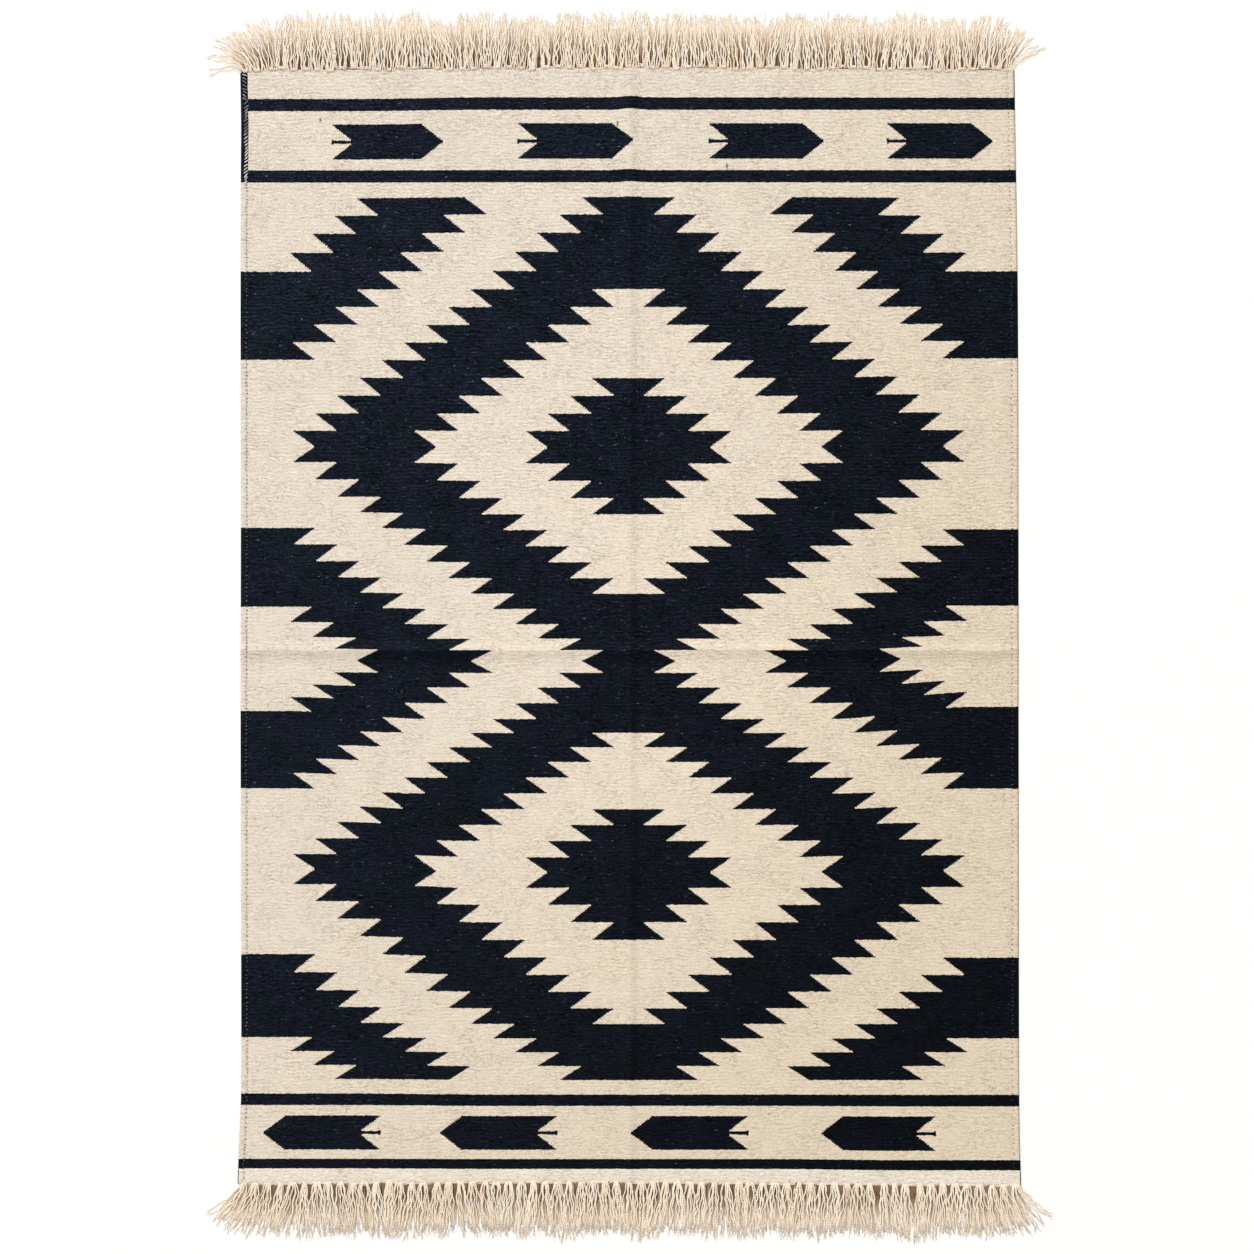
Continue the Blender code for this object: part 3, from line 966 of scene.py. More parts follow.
def sewing_thread(name, colour, worn):
    """Finish of the hems' stitches: three-ply cotton thread, matt, tone changing every few mm.

    worn is how much darker it is where handling has soiled it, in patches of 30 mm or so.
    """
    material, shader, node = start_material(name)
    place = node("TexCoord").outputs["Object"]
    grain = node("TexNoise", place, 320.0, 2.0)
    tone = node("MapRange", grain, 0.3, 0.7, 0.80, 1.08)
    soil = node("MapRange", node("TexNoise", place, 34.0, 1.0), 0.42, 0.6, 1.0, 1 - worn)
    tone = node("MULTIPLY", tone, soil)
    colour = node("VectorMath.SCALE", tuple(colour), tone)
    # Plies 0.8 mm apart
    plies = node("TexWave", place, 200.0, 2.0)
    bump = node("Bump", 0.4, 0.0002, None, plies.outputs[1])
    rough = node("MapRange", grain, 0.0, 1.0, 0.94, 0.8)
    inputs = {
        "Base Color": colour,
        "Normal": bump,
        "Roughness": rough,
    }
    finish_shader(shader, inputs)
    return material


def light_table(colour, glow):
    """Finish of the floor: matt opal acrylic lit from below, which keeps every shadow pale."""
    material, shader, node = start_material("Opal acrylic light table")
    place = node("TexCoord").outputs["Object"]
    tooth = node("TexNoise", place, 700.0, 2.0)
    tone = node("MapRange", tooth, 0.0, 1.0, 0.995, 1.0)
    colour = node("VectorMath.SCALE", tuple(colour), tone)
    bump = node("Bump", 0.05, 0.0002, None, tooth)
    inputs = {
        "Base Color": colour,
        "Normal": bump,
        "Roughness": 0.95,
        "Specular IOR Level": 0.1,
        "Emission Color": (1, 0.99, 0.965, 1),
        "Emission Strength": glow,
    }
    finish_shader(shader, inputs)
    return material


# ---------------------------------------------------------------- the cloth


def spread_lines(stops, step):
    """Give the stops with even lines between them wherever they lie far apart."""
    lines = []
    for start, end in zip(stops, stops[1:]):
        parts = max(round((end - start) / step), 1)
        lines += [start + (end - start) * i / parts for i in range(parts)]
    return np.array(lines + [stops[-1]])


def lay_rows(rows, across):
    """Give how far along the cloth each row of the pattern lies, at many places across it."""
    whole = np.arange(FIRST_ROW, LAST_ROW + 1)
    sides = ("left", "middle", "right")
    left, middle, right = (read_smooth(PATTERN_ROWS, "row", s, whole)[:, None] for s in sides)
    wider = MIDDLE_WIDENS * np.interp(whole, WIDE_ROWS, (0, 1, 1, 0))[:, None]
    weight = ease((np.abs(across) - wider - MIDDLE_ENDS) / (SIDE_STARTS - MIDDLE_ENDS))
    places = middle + (np.where(across < 0, left, right) - middle) * weight
    pucker = PUCKER_DRAW * ridge(across - CREASE_ACROSS, PUCKER_REACH)
    places += pucker * ease((4 - whole) / 8)[:, None]
    # The two rows next to each end share the room up to the cloth's own edge
    places[0], places[-1] = end_edge(across, 1), end_edge(across, -1)
    places[1] = (places[0] + places[2]) / 2
    places[-2] = (places[-1] + places[-3]) / 2
    low = np.clip(np.floor(rows).astype(int) - FIRST_ROW, 0, len(whole) - 2)
    share = (rows - FIRST_ROW - low)[:, None]
    return places[low] * (1 - share) + places[low + 1] * share


def cockle_height(x, y):
    """Height share of the cloth's slight unevenness, between 0 and 1."""
    total = 0
    for cockle in COCKLES:
        turn = cockle.x * x * math.tau / 3 + cockle.y * y * math.tau / 3
        total = total + np.sin(turn + cockle.phase)
    return 0.5 + total / (2 * len(COCKLES))


def cloth_top(across, along, settings):
    """Height of the cloth's top: its hems, the seams that hold them, the creases, the cockles."""
    inset = HALF_WIDTH - np.abs(across)
    from_end = np.abs(np.abs(along) - np.abs(end_edge(across, np.sign(along))))
    top = settings.thickness + read_straight(HEM_STATIONS, "inset", "rise", inset)
    top = top - END_ROUND_DROP * (1 - ease(from_end / END_ROUND_REACH))
    top += settings.crease * ridge(across - CREASE_ACROSS, CREASE_REACH)
    top += settings.crease * ridge(along - CREASE_ALONG, CREASE_REACH)
    return top + settings.cockle * (cockle_height(across, along) - 0.5)


def shape_cloth(piece, columns, rows, settings):
    """Carry the flat grid to its place, and raise the cloth's top over its underside."""
    mesh = piece.data
    order = mesh.attributes.new("order", "INT", "POINT")
    write_values(order.data, "value", np.arange(len(mesh.vertices)), np.int32)
    bpy.ops.object.mode_set(mode="EDIT")
    bpy.ops.mesh.select_all(action="SELECT")
    bpy.ops.mesh.extrude_region_move(TRANSFORM_OT_translate={"value": (0, 0, settings.thickness)})
    bpy.ops.object.mode_set(mode="OBJECT")
    mesh = piece.data
    order = read_values(mesh.attributes["order"].data, "value", kind=np.int32)
    mesh.attributes.remove(mesh.attributes["order"])
    is_top = read_values(mesh.vertices, "co", 3)[:, 2] > settings.thickness / 2

    middle = cloth_middle()
    along = lay_rows(rows, columns)
    across = np.broadcast_to(columns, along.shape)
    top = cloth_top(across, along, settings)
    from_end = np.minimum(np.abs(along - along[0]), np.abs(along - along[-1]))
    edge = np.minimum(HALF_WIDTH - np.abs(across), from_end)
    bottom = EDGE_LIFT * (1 - ease(edge / EDGE_REACH))
    x = across + side_shift(across, along) + middle.x
    laid = np.stack([x, along + middle.y, top, bottom], -1).reshape(-1, 4)[order]
    laid = np.where(is_top[:, None], laid[:, :3], laid[:, [0, 1, 3]])
    write_values(mesh.vertices, "co", laid)
    # The loom's own coordinates: the place across, the row, and whether it is the underside
    loom = np.stack([across.ravel()[order], np.repeat(rows, len(columns))[order], ~is_top], 1)
    write_values(mesh.attributes.new("loom", "FLOAT_VECTOR", "POINT").data, "vector", loom)
    mesh.update()


def map_cloth(mesh):
    """Give the cloth its own map: the top takes most of it, then the underside, then the edges."""
    low, high = (np.array(corner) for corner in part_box("woven_panel"))
    place = read_values(mesh.vertices, "co", 3)
    place = place[read_values(mesh.loops, "vertex_index", kind=np.int32)]
    share = np.clip((place - low) / (high - low), 0, 1)
    sides = read_values(mesh.polygons, "loop_total", kind=np.int32)
    normal = np.repeat(read_values(mesh.polygons, "normal", 3), sides, axis=0)
    wall = np.abs(normal[:, 2]) < 0.3
    end_wall = wall & (np.abs(normal[:, 1]) > np.abs(normal[:, 0]))
    u = np.where(normal[:, 2] > 0, 0.004 + 0.70 * share[:, 0], 0.73 + 0.24 * share[:, 0])
    u = np.where(wall, 0.712 + 0.008 * share[:, 2] + 0.27 * end_wall, u)
    v = 0.004 + 0.992 * np.where(end_wall, share[:, 0], share[:, 1])
    write_map(mesh, np.stack([u, v], 1))


class RUG_OT_weave_cloth(bpy.types.Operator):
    """Weave the patterned cloth with its turned hems and folding creases"""

    bl_idname = "rug.weave_cloth"
    bl_label = "Weave the cloth"

    def execute(self, context):
        settings = context.scene.rug_cloth
        start_afresh("woven_cloth")
        hem = [HALF_WIDTH - station.inset for station in HEM_STATIONS]
        fold = [CREASE_ACROSS + CREASE_REACH * share for share in (-1.6, -1, -0.5, 0, 0.5, 1, 1.6)]
        columns = spread_lines([-place for place in hem] + fold + hem[::-1], settings.grid)
        # A mesh row for each row of the pattern, and more of them at the crease and at both ends
        first, last = CREASE_ROWS
        rows = [FIRST_ROW, FIRST_ROW + 0.07, FIRST_ROW + 0.2, *range(FIRST_ROW + 1, first)]
        rows += [first + i / 4 for i in range(4 * (last - first) + 1)]
        rows += [*range(last + 1, LAST_ROW), LAST_ROW - 0.2, LAST_ROW - 0.07, LAST_ROW]
        rows = spread_lines(rows, ROW_SPACING)
        bpy.ops.mesh.primitive_grid_add(
            x_subdivisions=len(columns) - 1, y_subdivisions=len(rows) - 1, size=1
        )
        piece = name_piece("woven_cloth")
        if len(piece.data.vertices) != len(columns) * len(rows):
            raise RuntimeError("the cloth's grid doesn't have the lines that its pattern needs")
        shape_cloth(piece, columns, rows, settings)
        smooth_outside()
        map_cloth(piece.data)
        finish_piece(piece, flatwoven_cotton(context.scene.rug_colours))
        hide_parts("woven_panel")
        return {"FINISHED"}


# ---------------------------------------------------------------- the fringes


def near_corners(end, across):
    """How much of each corner's fan there is at many places across, left and right."""
    left = np.exp(-(HALF_WIDTH + across) / end.left.fade)
    return left, np.exp(-(HALF_WIDTH - across) / end.right.fade)


def sway_angle(end, across):
    """Lean of the tassels along the edge, from the gentle waves and the fanned corners."""
    left, right = near_corners(end, across)
    angle = sum(turn * wave(across, length, end.sway_start) for turn, length in SWAYS)
    return angle - end.left.splay * left + end.right.splay * right


def tassel_length(end, across):
    """Length of the tassels: the fanned ones at the corners are shorter than the rest."""
    left, right = near_corners(end, across)
    share = 1 - (1 - end.left.length) * left - (1 - end.right.length) * right
    return (end.length - KNOT_DEPTH) * share


def tassel_places(end):
    """Give each tassel's place across, and how far out from the cloth's edge its knot is tied."""
    draw = np.random.default_rng(end.seed + PLACES_SEED)
    across = (np.arange(TASSELS_PER_END) + 0.5) * TASSEL_PITCH - HALF_WIDTH
    waves = wave(across, 0.127, 1) + 0.6 * wave(across, 0.053)
    out = end.stray * (waves + draw.normal(0, 0.4, TASSELS_PER_END))
    return across + np.clip(draw.normal(0, 0.0011, TASSELS_PER_END), -0.0020, 0.0020), out


def spread_points(points):
    """Give the shares of a yarn's length where its points lie, closer together near the root."""
    return np.linspace(0, 1, points) ** 1.4


def root_place(across, side):
    """Place in the frame where a yarn leaves the cloth's end, at many places across."""
    middle = cloth_middle()
    along = end_edge(across, side)
    return np.stack([across + side_shift(across, along) + middle.x, along + middle.y], -1)


def lay_yarns(
    end, across, out, offset, layer, length, draw, settings, points=YARN_POINTS, loose=1
):
    """Lay many yarns' paths from their roots to their tips, each as a row of points.

    across is the place of a yarn's tassel and out how far out it is tied, offset the yarn's
    place in the tassel from -1 to 1, layer how high it lies in it, from 0 to 2, and loose how
    far it strays from its line.
    """
    count = len(across)
    along = spread_points(points)
    lean = read_straight(BUNCH_STATIONS, "along", "lean", along)
    angle = sway_angle(end, across + offset * HALF_TASSEL * TASSEL_PITCH)
    angle = angle + loose * draw.normal(0, HEADING_STRAY, count)
    turn = angle[:, None] * lean
    heading = np.stack([np.sin(turn), end.side * np.cos(turn)], -1)
    steps = np.diff(along)[:, None] * length[:, None, None]
    middles = (heading[:, 1:] + heading[:, :-1]) / 2 * steps
    path = np.concatenate([np.zeros((count, 1, 2)), np.cumsum(middles, 1)], 1)
    root = root_place(across, end.side)
    root[:, 1] += end.side * (out - draw.uniform(*ROOT_DEPTHS, count))
    path += root[:, None]
    aside = np.stack([np.cos(turn), -end.side * np.sin(turn)], -1)
    spread = read_smooth(BUNCH_STATIONS, "along", end.name, along) * TASSEL_PITCH
    shift = offset[:, None] * spread
    crimp = draw.uniform(*CRIMP_LENGTHS, count)[:, None]
    phase = draw.uniform(0, math.tau, count)[:, None]
    reach = along * length[:, None]
    kinks = settings.kink * wave(reach, crimp, phase) * ease(along / 0.3)
    shift = shift + loose * (kinks + draw.normal(0, TIP_STRAY, count)[:, None] * along**2)
    layers = ("low", "middle", "high")
    heights = np.stack([read_smooth(BUNCH_STATIONS, "along", name, along) for name in layers])
    low = np.clip(np.floor(layer).astype(int), 0, 1)
    share = (layer - low)[:, None]
    height = heights[low] * (1 - share) + heights[low + 1] * share
    path = path + aside * shift[..., None]
    return np.concatenate([path, height[..., None]], -1), aside


def gather_tips(end, across, draw):
    """Draw neighbouring tassels' tips together in uneven groups, and give each yarn's shift."""
    stops = [-HALF_WIDTH - 0.02]
    while stops[-1] < HALF_WIDTH:
        stops.append(stops[-1] + draw.uniform(*GATHERS))
    stops = np.array(stops)
    group = np.clip(np.searchsorted(stops, across) - 1, 0, len(stops) - 2)
    middle = (stops[group] + stops[group + 1]) / 2
    lean = draw.normal(0, 0.004, len(stops))[group]
    return (middle - across) * GATHER_SHARE + lean


def lay_tubes(paths, radii, sides, strips, ways):
    """Lay a closed tube round each path, and none in the floor: give points, faces and map.

    strips has each tube's strip of the yarns' map, and ways how far along it each point lies.
    """
    count, points = paths.shape[:2]
    paths = paths.copy()
    paths[..., 2] = np.maximum(paths[..., 2], radii * FLATTENED)
    run = np.gradient(paths, axis=1)
    run /= np.linalg.norm(run, axis=-1, keepdims=True)
    aside = np.cross(run, (0.0, 0.0, 1.0))
    aside /= np.linalg.norm(aside, axis=-1, keepdims=True)
    above = np.cross(aside, run)
    here = np.arange(sides)
    turns = math.tau * here / sides
    wide = np.cos(turns)[:, None] * radii[..., None, None] * aside[:, :, None]
    high = np.sin(turns)[:, None] * radii[..., None, None] * above[:, :, None]
    places = (paths[:, :, None] + wide + high * FLATTENED).reshape(-1, 3)

    first = np.arange(count)[:, None] * points * sides
    ring = first[..., None] + np.arange(points - 1)[:, None] * sides
    beside = (here + 1) % sides
    quads = np.stack([ring + here, ring + beside, ring + sides + beside, ring + sides + here], -1)
    caps = np.concatenate([first + here[::-1], first + (points - 1) * sides + here])
    corners = np.concatenate([quads.ravel(), caps.ravel()])
    sizes = np.repeat([4, sides], [quads.size // 4, len(caps)])

    # Round the tube is across its strip, and its end faces are folded in over the strip's ends
    left, right = here / sides, (here + 1) / sides
    u = np.stack([left, right, right, left], -1)[None, None] * 0.96 + 0.02
    u = (strips[:, None, None, None] + u) / STRIPS
    near, far = ways[:, :-1], ways[:, 1:]
    v = np.stack([near, near, far, far], -1)[:, :, None]
    spots = [np.stack(np.broadcast_arrays(u, v), -1).reshape(-1, 2)]
    for way, turn in ((ways[:, :1], turns[::-1]), (ways[:, -1:], turns)):
        u = (strips[:, None] + 0.5 + 0.2 * np.cos(turn)) / STRIPS
        v = way + 0.012 * np.sin(turn)
        spots.append(np.stack(np.broadcast_arrays(u, v), -1).reshape(-1, 2))
    return places, corners, sizes, np.concatenate(spots)


def join_parts(parts):
    """Join several sets of tubes into one."""
    points, corners, sizes, spots = zip(*parts)
    starts = np.cumsum([0] + [len(part) for part in points[:-1]])
    corners = [part + start for part, start in zip(corners, starts)]
    return [np.concatenate(part) for part in (points, corners, sizes, spots)]


def light_corners(across, ways):
    """Let the fanned yarns at the corners, which lie open to the light, look as pale as tips."""
    share = OPEN_WAY * np.exp(-(HALF_WIDTH - np.abs(across)) / OPEN_REACH)[:, None]
    return ways + share * (OPEN_WAY - ways)


def lay_tassels(end, settings, draw):
    """Lay the tassels' yarns, with the wisps that their plies come apart into at the tips."""
    # The yarns on top and those low inside, each spread over the tassel's whole width
    place = [np.linspace(-1, 1, settings.yarns), np.linspace(-0.9, 0.9, settings.inner_yarns)]
    place = np.concatenate(place)
    tassel = np.repeat(np.arange(TASSELS_PER_END), len(place))
    inside = np.tile(np.arange(len(place)) >= settings.yarns, TASSELS_PER_END)
    place = np.tile(place, TASSELS_PER_END)
    across, out = (part[tassel] for part in tassel_places(end))
    many = len(across)
    width = draw.normal(1, 0.13, TASSELS_PER_END)[tassel]
    offset = (place + draw.normal(0, 0.11, many)) * width
    pile = 1.9 - 0.7 * place**2 + draw.uniform(-0.5, 0.4, many)
    layer = np.clip(np.where(inside, draw.uniform(0, 0.8, many), pile), 0, 2)
    length = tassel_length(end, across) * (1 + draw.uniform(*YARN_LONGER, many))
    length *= 1 + draw.normal(0, 0.025, TASSELS_PER_END)[tassel]
    waves = wave(across, 0.067) + wave(across, 0.151)
    length *= 1 + 0.025 * waves
    paths, aside = lay_yarns(end, across, out, offset, layer, length, draw, settings)
    along = spread_points(YARN_POINTS)
    # Some tassels part in two close to the knot, and close again further out
    parted = draw.uniform(0, 1, TASSELS_PER_END) < end.parted
    parted = parted * draw.uniform(*PARTINGS, TASSELS_PER_END)
    split = draw.uniform(-0.35, 0.35, TASSELS_PER_END)[tassel]
    apart = np.sign(place - split) * parted[tassel] * ~inside
    closing = ease(along / 0.08) * (1 - ease((along - 0.14) / 0.36))
    drawn = gather_tips(end, across, draw)[:, None] * along**2 + apart[:, None] * closing
    paths[..., :2] += aside * drawn[..., None]
    thick = settings.thickness / 2 * draw.uniform(0.80, 1.12, many) * np.where(inside, 1.15, 1)
    taper = np.interp(along, [0, 0.8, 1.0], [1.0, 0.95, 0.62])
    # A tassel's yarns share much the same tone, and those low inside it lie in its shade
    tassel_tone = draw.uniform(0.0, TOP_STRIPS - 4, TASSELS_PER_END)[tassel]
    strips = np.clip(tassel_tone + draw.uniform(-1, 5, many), 0, TOP_STRIPS - 1).astype(int)
    inner = TOP_STRIPS + draw.integers(0, INNER_STRIPS, many)
    strips = np.where(inside, inner, strips)
    ways = light_corners(across, 0.02 + 0.90 * np.broadcast_to(along, (many, YARN_POINTS)))
    yarns = lay_tubes(paths, thick[:, None] * taper, YARN_SIDES, strips, ways)

    tips, tips_aside, strips = (
        np.repeat(part, WISPS_PER_YARN, axis=0) for part in (paths[:, -2:], aside[:, -1], strips)
    )
    many = len(tips)
    run = tips[:, 1] - tips[:, 0]
    run /= np.linalg.norm(run, axis=-1, keepdims=True)
    start = tips[:, 1] - run * WISP_ROOT
    reach = draw.uniform(*WISP_REACHES, many)[:, None] + WISP_ROOT
    lean = np.pad(tips_aside, ((0, 0), (0, 1))) * draw.normal(0, WISP_LEAN, many)[:, None]
    share = np.linspace(0, 1, WISP_POINTS)
    paths = start[:, None] + (run * reach)[:, None] * share[:, None]
    paths += lean[:, None] * share[:, None] ** 1.5
    paths[..., 2] = np.maximum(paths[..., 2] - 0.0006 * share, 0.0006)
    thin = np.interp(share, [0, 0.6, 1], WISP_RADII)
    ways = 0.86 + 0.12 * share
    thin, ways = (np.broadcast_to(part, (many, WISP_POINTS)) for part in (thin, ways))
    return [yarns, lay_tubes(paths, thin, WISP_SIDES, strips, ways)]


def lay_gap_yarns(end, settings, draw):
    """Lay the low yarns that close the gaps between the tassels, in painted deep shade close to the
    cloth.
    """
    across = np.repeat(np.arange(1, TASSELS_PER_END), settings.under_yarns) * TASSEL_PITCH
    across = across - HALF_WIDTH
    many = len(across)
    # They leave the cloth side by side, so a row of them is as wide as a tassel's spacing
    evenly = np.tile(np.linspace(-1, 1, settings.under_yarns), TASSELS_PER_END - 1)
    offset = evenly * 0.9 + draw.normal(0, 0.05, many)
    length = tassel_length(end, across) * draw.uniform(0.82, 1.0, many)
    laid = (end, across, 0, offset, np.zeros(many), length, draw, settings)
    paths, aside = lay_yarns(*laid, UNDER_POINTS, loose=0.35)
    along = spread_points(UNDER_POINTS)
    spread = read_smooth(BUNCH_STATIONS, "along", end.name, along)
    filled = evenly[:, None] * (0.55 - 0.9 * spread) * TASSEL_PITCH
    paths[..., :2] += aside * filled[..., None]
    paths[..., 2] = 0.0010
    thick = settings.thickness / 2 * draw.uniform(1.15, 1.3, many)
    strips = STRIPS - UNDER_STRIPS + draw.integers(0, UNDER_STRIPS, many)
    # Their map puts them in painted deep shade close to the cloth, paling towards their tips
    ways = np.interp(along, [0, 0.10, 0.28, 1.0], [end.gap, end.gap, 0.30, 0.90])
    taper = np.interp(along, [0, 0.8, 1.0], [1.0, 0.95, 0.5])
    ways = light_corners(across, ways)
    return lay_tubes(paths, thick[:, None] * taper, UNDER_SIDES, strips, ways)


def twine_cord(end):
    """Lay the cord of two strands that is twined along the cloth's end, over the roots."""
    across = np.linspace(0.002, CLOTH_WIDTH - 0.002, CORD_POINTS) - HALF_WIDTH
    root = root_place(across, end.side) + [0, end.side * 0.0004]
    root[:, 1] += end.side * np.interp(across, *tassel_places(end))
    turn = math.tau * (across / CORD_TURN + 0.6 * wave(across, 0.061))
    turn = np.stack([turn, turn + math.pi])
    # It sinks into the cloth's end here and there
    sunk = 0.0007 * wave(across, 0.083) + 0.0005 * wave(across, 0.031)
    height = 0.0021 + sunk + 0.0007 * np.cos(turn)
    paths = np.stack([root[:, 0] + 0 * turn, root[:, 1] + 0.0015 * np.sin(turn), height], -1)
    # Its map runs up and down over the same stretch of a yarn
    ways = 0.10 + 0.20 * np.abs(across / 0.017 % 2 - 1) + 0 * turn
    return lay_tubes(paths, CORD_RADIUS + 0 * turn, CORD_SIDES, np.array(CORD_STRIPS), ways)


def grow_fringe(end, settings):
    """Lay out one end's fringe: its tassels, the low yarns between them, and the twined cord."""
    draw = np.random.default_rng(end.seed)
    parts = lay_tassels(end, settings, draw)
    if settings.under_yarns:
        parts.append(lay_gap_yarns(end, settings, draw))
    return join_parts([*parts, twine_cord(end)])


def lay_copies(mesh, places, turns, sizes, strips=None):
    """Turn a small model into one mesh of its copies, each placed, turned about Z and sized."""
    points = read_values(mesh.vertices, "co", 3)
    corners = read_values(mesh.loops, "vertex_index", kind=np.int32)
    counts = read_values(mesh.polygons, "loop_total", kind=np.int32)
    many = len(places)
    spots = None
    if strips is not None:
        # Each copy lies on the crest of its yarn's strip, a little out from the root
        spots = read_values(mesh.uv_layers[0].data, "uv", 2)
        spots = np.repeat(spots[None], many, 0) * (0.20, 0.30) + (0.15, 0.14)
        spots[..., 0] = (strips[:, None] + spots[..., 0]) / STRIPS
    cos, sin, nil = np.cos(turns), np.sin(turns), np.zeros(many)
    spin = np.stack([cos, -sin, nil, sin, cos, nil, nil, nil, nil + 1], -1).reshape(-1, 3, 3)
    laid = np.einsum("nij,nkj->nki", spin, points[None] * sizes[:, None]) + places[:, None]
    corners = (corners + len(points) * np.arange(many)[:, None]).ravel()
    fill_mesh(mesh, laid.reshape(-1, 3), corners, np.tile(counts, many), spots)


def model_loop(stations, sides):
    """Model one short bend of thread by hand: a ring drawn out from station to station."""
    start = stations[0]
    bpy.ops.mesh.primitive_circle_add(
        vertices=sides, radius=start.radius, fill_type="NGON",
        location=(start.x, 0, start.z), rotation=(0, math.pi / 2, 0),
    )
    bpy.ops.object.transform_apply(location=True, rotation=True, scale=True)
    bpy.ops.object.mode_set(mode="EDIT")
    bpy.ops.mesh.select_all(action="SELECT")
    for here, there in zip(stations, stations[1:]):
        step = (there.x - here.x, 0, there.z - here.z)
        bpy.ops.mesh.extrude_region_move(TRANSFORM_OT_translate={"value": step})
        middle = (there.x, 0, there.z)
        # With no window, a turn goes the other way round its axis
        turn = here.slant - there.slant
        bpy.ops.transform.rotate(value=turn, orient_axis="Y", center_override=middle)
        grow = there.radius / here.radius
        bpy.ops.transform.resize(value=(grow, grow, grow), center_override=middle)
    smooth_outside()


def place_stitches(piece, across, along, rise, turns, sizes, settings):
    """Lay a row of stitches out over the cloth."""
    top = cloth_top(across, along, settings) + rise
    places = np.stack([across + side_shift(across, along), along, top], -1)
    lay_copies(piece.data, places + np.array(cloth_middle()), turns, sizes)


class RUG_OT_sew_hems(bpy.types.Operator):
    """Sew the side hems, and overcast the far end of the left one"""

    bl_idname = "rug.sew_hems"
    bl_label = "Sew the hems"

    def execute(self, context):
        settings, colours = context.scene.rug_cloth, context.scene.rug_colours
        draw = np.random.default_rng(SEAM_SEED)
        for seam, colour in zip(SEAMS, (colours.left_thread, colours.right_thread)):
            place, along = SEAM_MARGIN - HALF_LENGTH, []
            while place < (OVERCAST_FROM if seam.side < 0 else HALF_LENGTH - SEAM_MARGIN):
                along.append(place)
                place += draw.uniform(seam.shortest, seam.longest)
            along = np.array(along)
            many = len(along)
            across = seam.side * (HALF_WIDTH - seam.inset) + draw.normal(0, 0.0006, many)
            start_afresh(seam.name)
            model_loop(RUNNING_STITCH, STITCH_SIDES)
            piece = name_piece(seam.name)
            sizes = draw.uniform(0.65, 1.3, (many, 3))
            turns = seam.turn + draw.normal(0, 0.35, many)
            place_stitches(piece, across, along, 0, turns, sizes, settings)
            name = seam.name.replace("_", " ").capitalize()
            finish_piece(piece, sewing_thread(name, colour, 0.25))

        start_afresh("overcast_stitches")
        model_loop(OVERCAST_STITCH, STITCH_SIDES)
        piece = name_piece("overcast_stitches")
        along = np.arange(OVERCAST_FROM, OVERCAST_TO, OVERCAST_PITCH)
        many = len(along)
        along = along + draw.normal(0, 0.0005, many)
        # It leans the other way for the last few stitches, where the hand has turned round
        turned = along > OVERCAST_TURNS
        inset = np.where(turned, 0.0080, 0.0098) + draw.normal(0, 0.0005, many)
        turns = np.where(turned, math.radians(-34), math.radians(42)) + draw.normal(0, 0.16, many)
        sizes = draw.uniform(0.85, 1.1, (many, 3))
        across = inset - HALF_WIDTH
        place_stitches(piece, across, along, OVERCAST_RISE, turns, sizes, settings)
        thread = sewing_thread("Overcast cotton thread", colours.overcast, 0.75)
        finish_piece(piece, thread)
        return {"FINISHED"}


def model_knot():
    """Model one knot by hand: two turns of yarn round the bunch, pulled flat and crossing."""
    bpy.ops.mesh.primitive_torus_add(
        major_segments=16,
        minor_segments=6,
        major_radius=0.0037,
        minor_radius=0.0013,
        rotation=(math.pi / 2, 0, 0),
    )
    bpy.ops.object.transform_apply(location=True, rotation=True, scale=True)
    bpy.ops.object.mode_set(mode="EDIT")
    bpy.ops.mesh.select_all(action="SELECT")
    bpy.ops.transform.resize(value=(1.0, 1.0, 0.52), center_override=(0, 0, 0))
    bpy.ops.mesh.duplicate()
    bpy.ops.transform.translate(value=(0.0002, 0.0021, 0))
    bpy.ops.transform.rotate(value=0.22, orient_axis="Z", center_override=(0, 0.0021, 0))
    bpy.ops.transform.resize(value=(0.92, 1.0, 0.92), center_override=(0, 0.0021, 0))
    bpy.ops.mesh.select_all(action="INVERT")
    bpy.ops.transform.rotate(value=-0.16, orient_axis="Z", center_override=(0, 0, 0))
    bpy.ops.object.mode_set(mode="OBJECT")
    bpy.ops.object.shade_smooth()


class RUG_OT_tie_knots(bpy.types.Operator):
    """Tie the knot that holds each tassel close to the cloth"""

    bl_idname = "rug.tie_knots"
    bl_label = "Tie the knots"

    def execute(self, context):
        for end in FRINGE_ENDS:
            draw = np.random.default_rng(end.seed + KNOTS_SEED)
            name = "knots_" + end.name
            start_afresh(name)
            model_knot()
            piece = name_piece(name)
            across, out = tassel_places(end)
            angle = sway_angle(end, across) * 0.3 + draw.normal(0, 0.12, TASSELS_PER_END)
            out = out + 0.0010 + draw.normal(0, 0.0004, TASSELS_PER_END)
            root = root_place(across, end.side)
            x = root[:, 0] + np.sin(angle) * out
            y = root[:, 1] + end.side * np.cos(angle) * out
            places = np.stack([x, y, np.full(TASSELS_PER_END, KNOT_HEIGHT)], -1)
            turns = -angle if end.side > 0 else math.pi + angle
            sizes = draw.uniform(0.90, 1.08, (TASSELS_PER_END, 3)) * (end.knot, 1, 1)
            strips = draw.integers(4, TOP_STRIPS, TASSELS_PER_END)
            lay_copies(piece.data, places, turns, sizes, strips)
            finish_piece(piece, bpy.data.materials["Twisted cotton fringe yarn"])
        return {"FINISHED"}


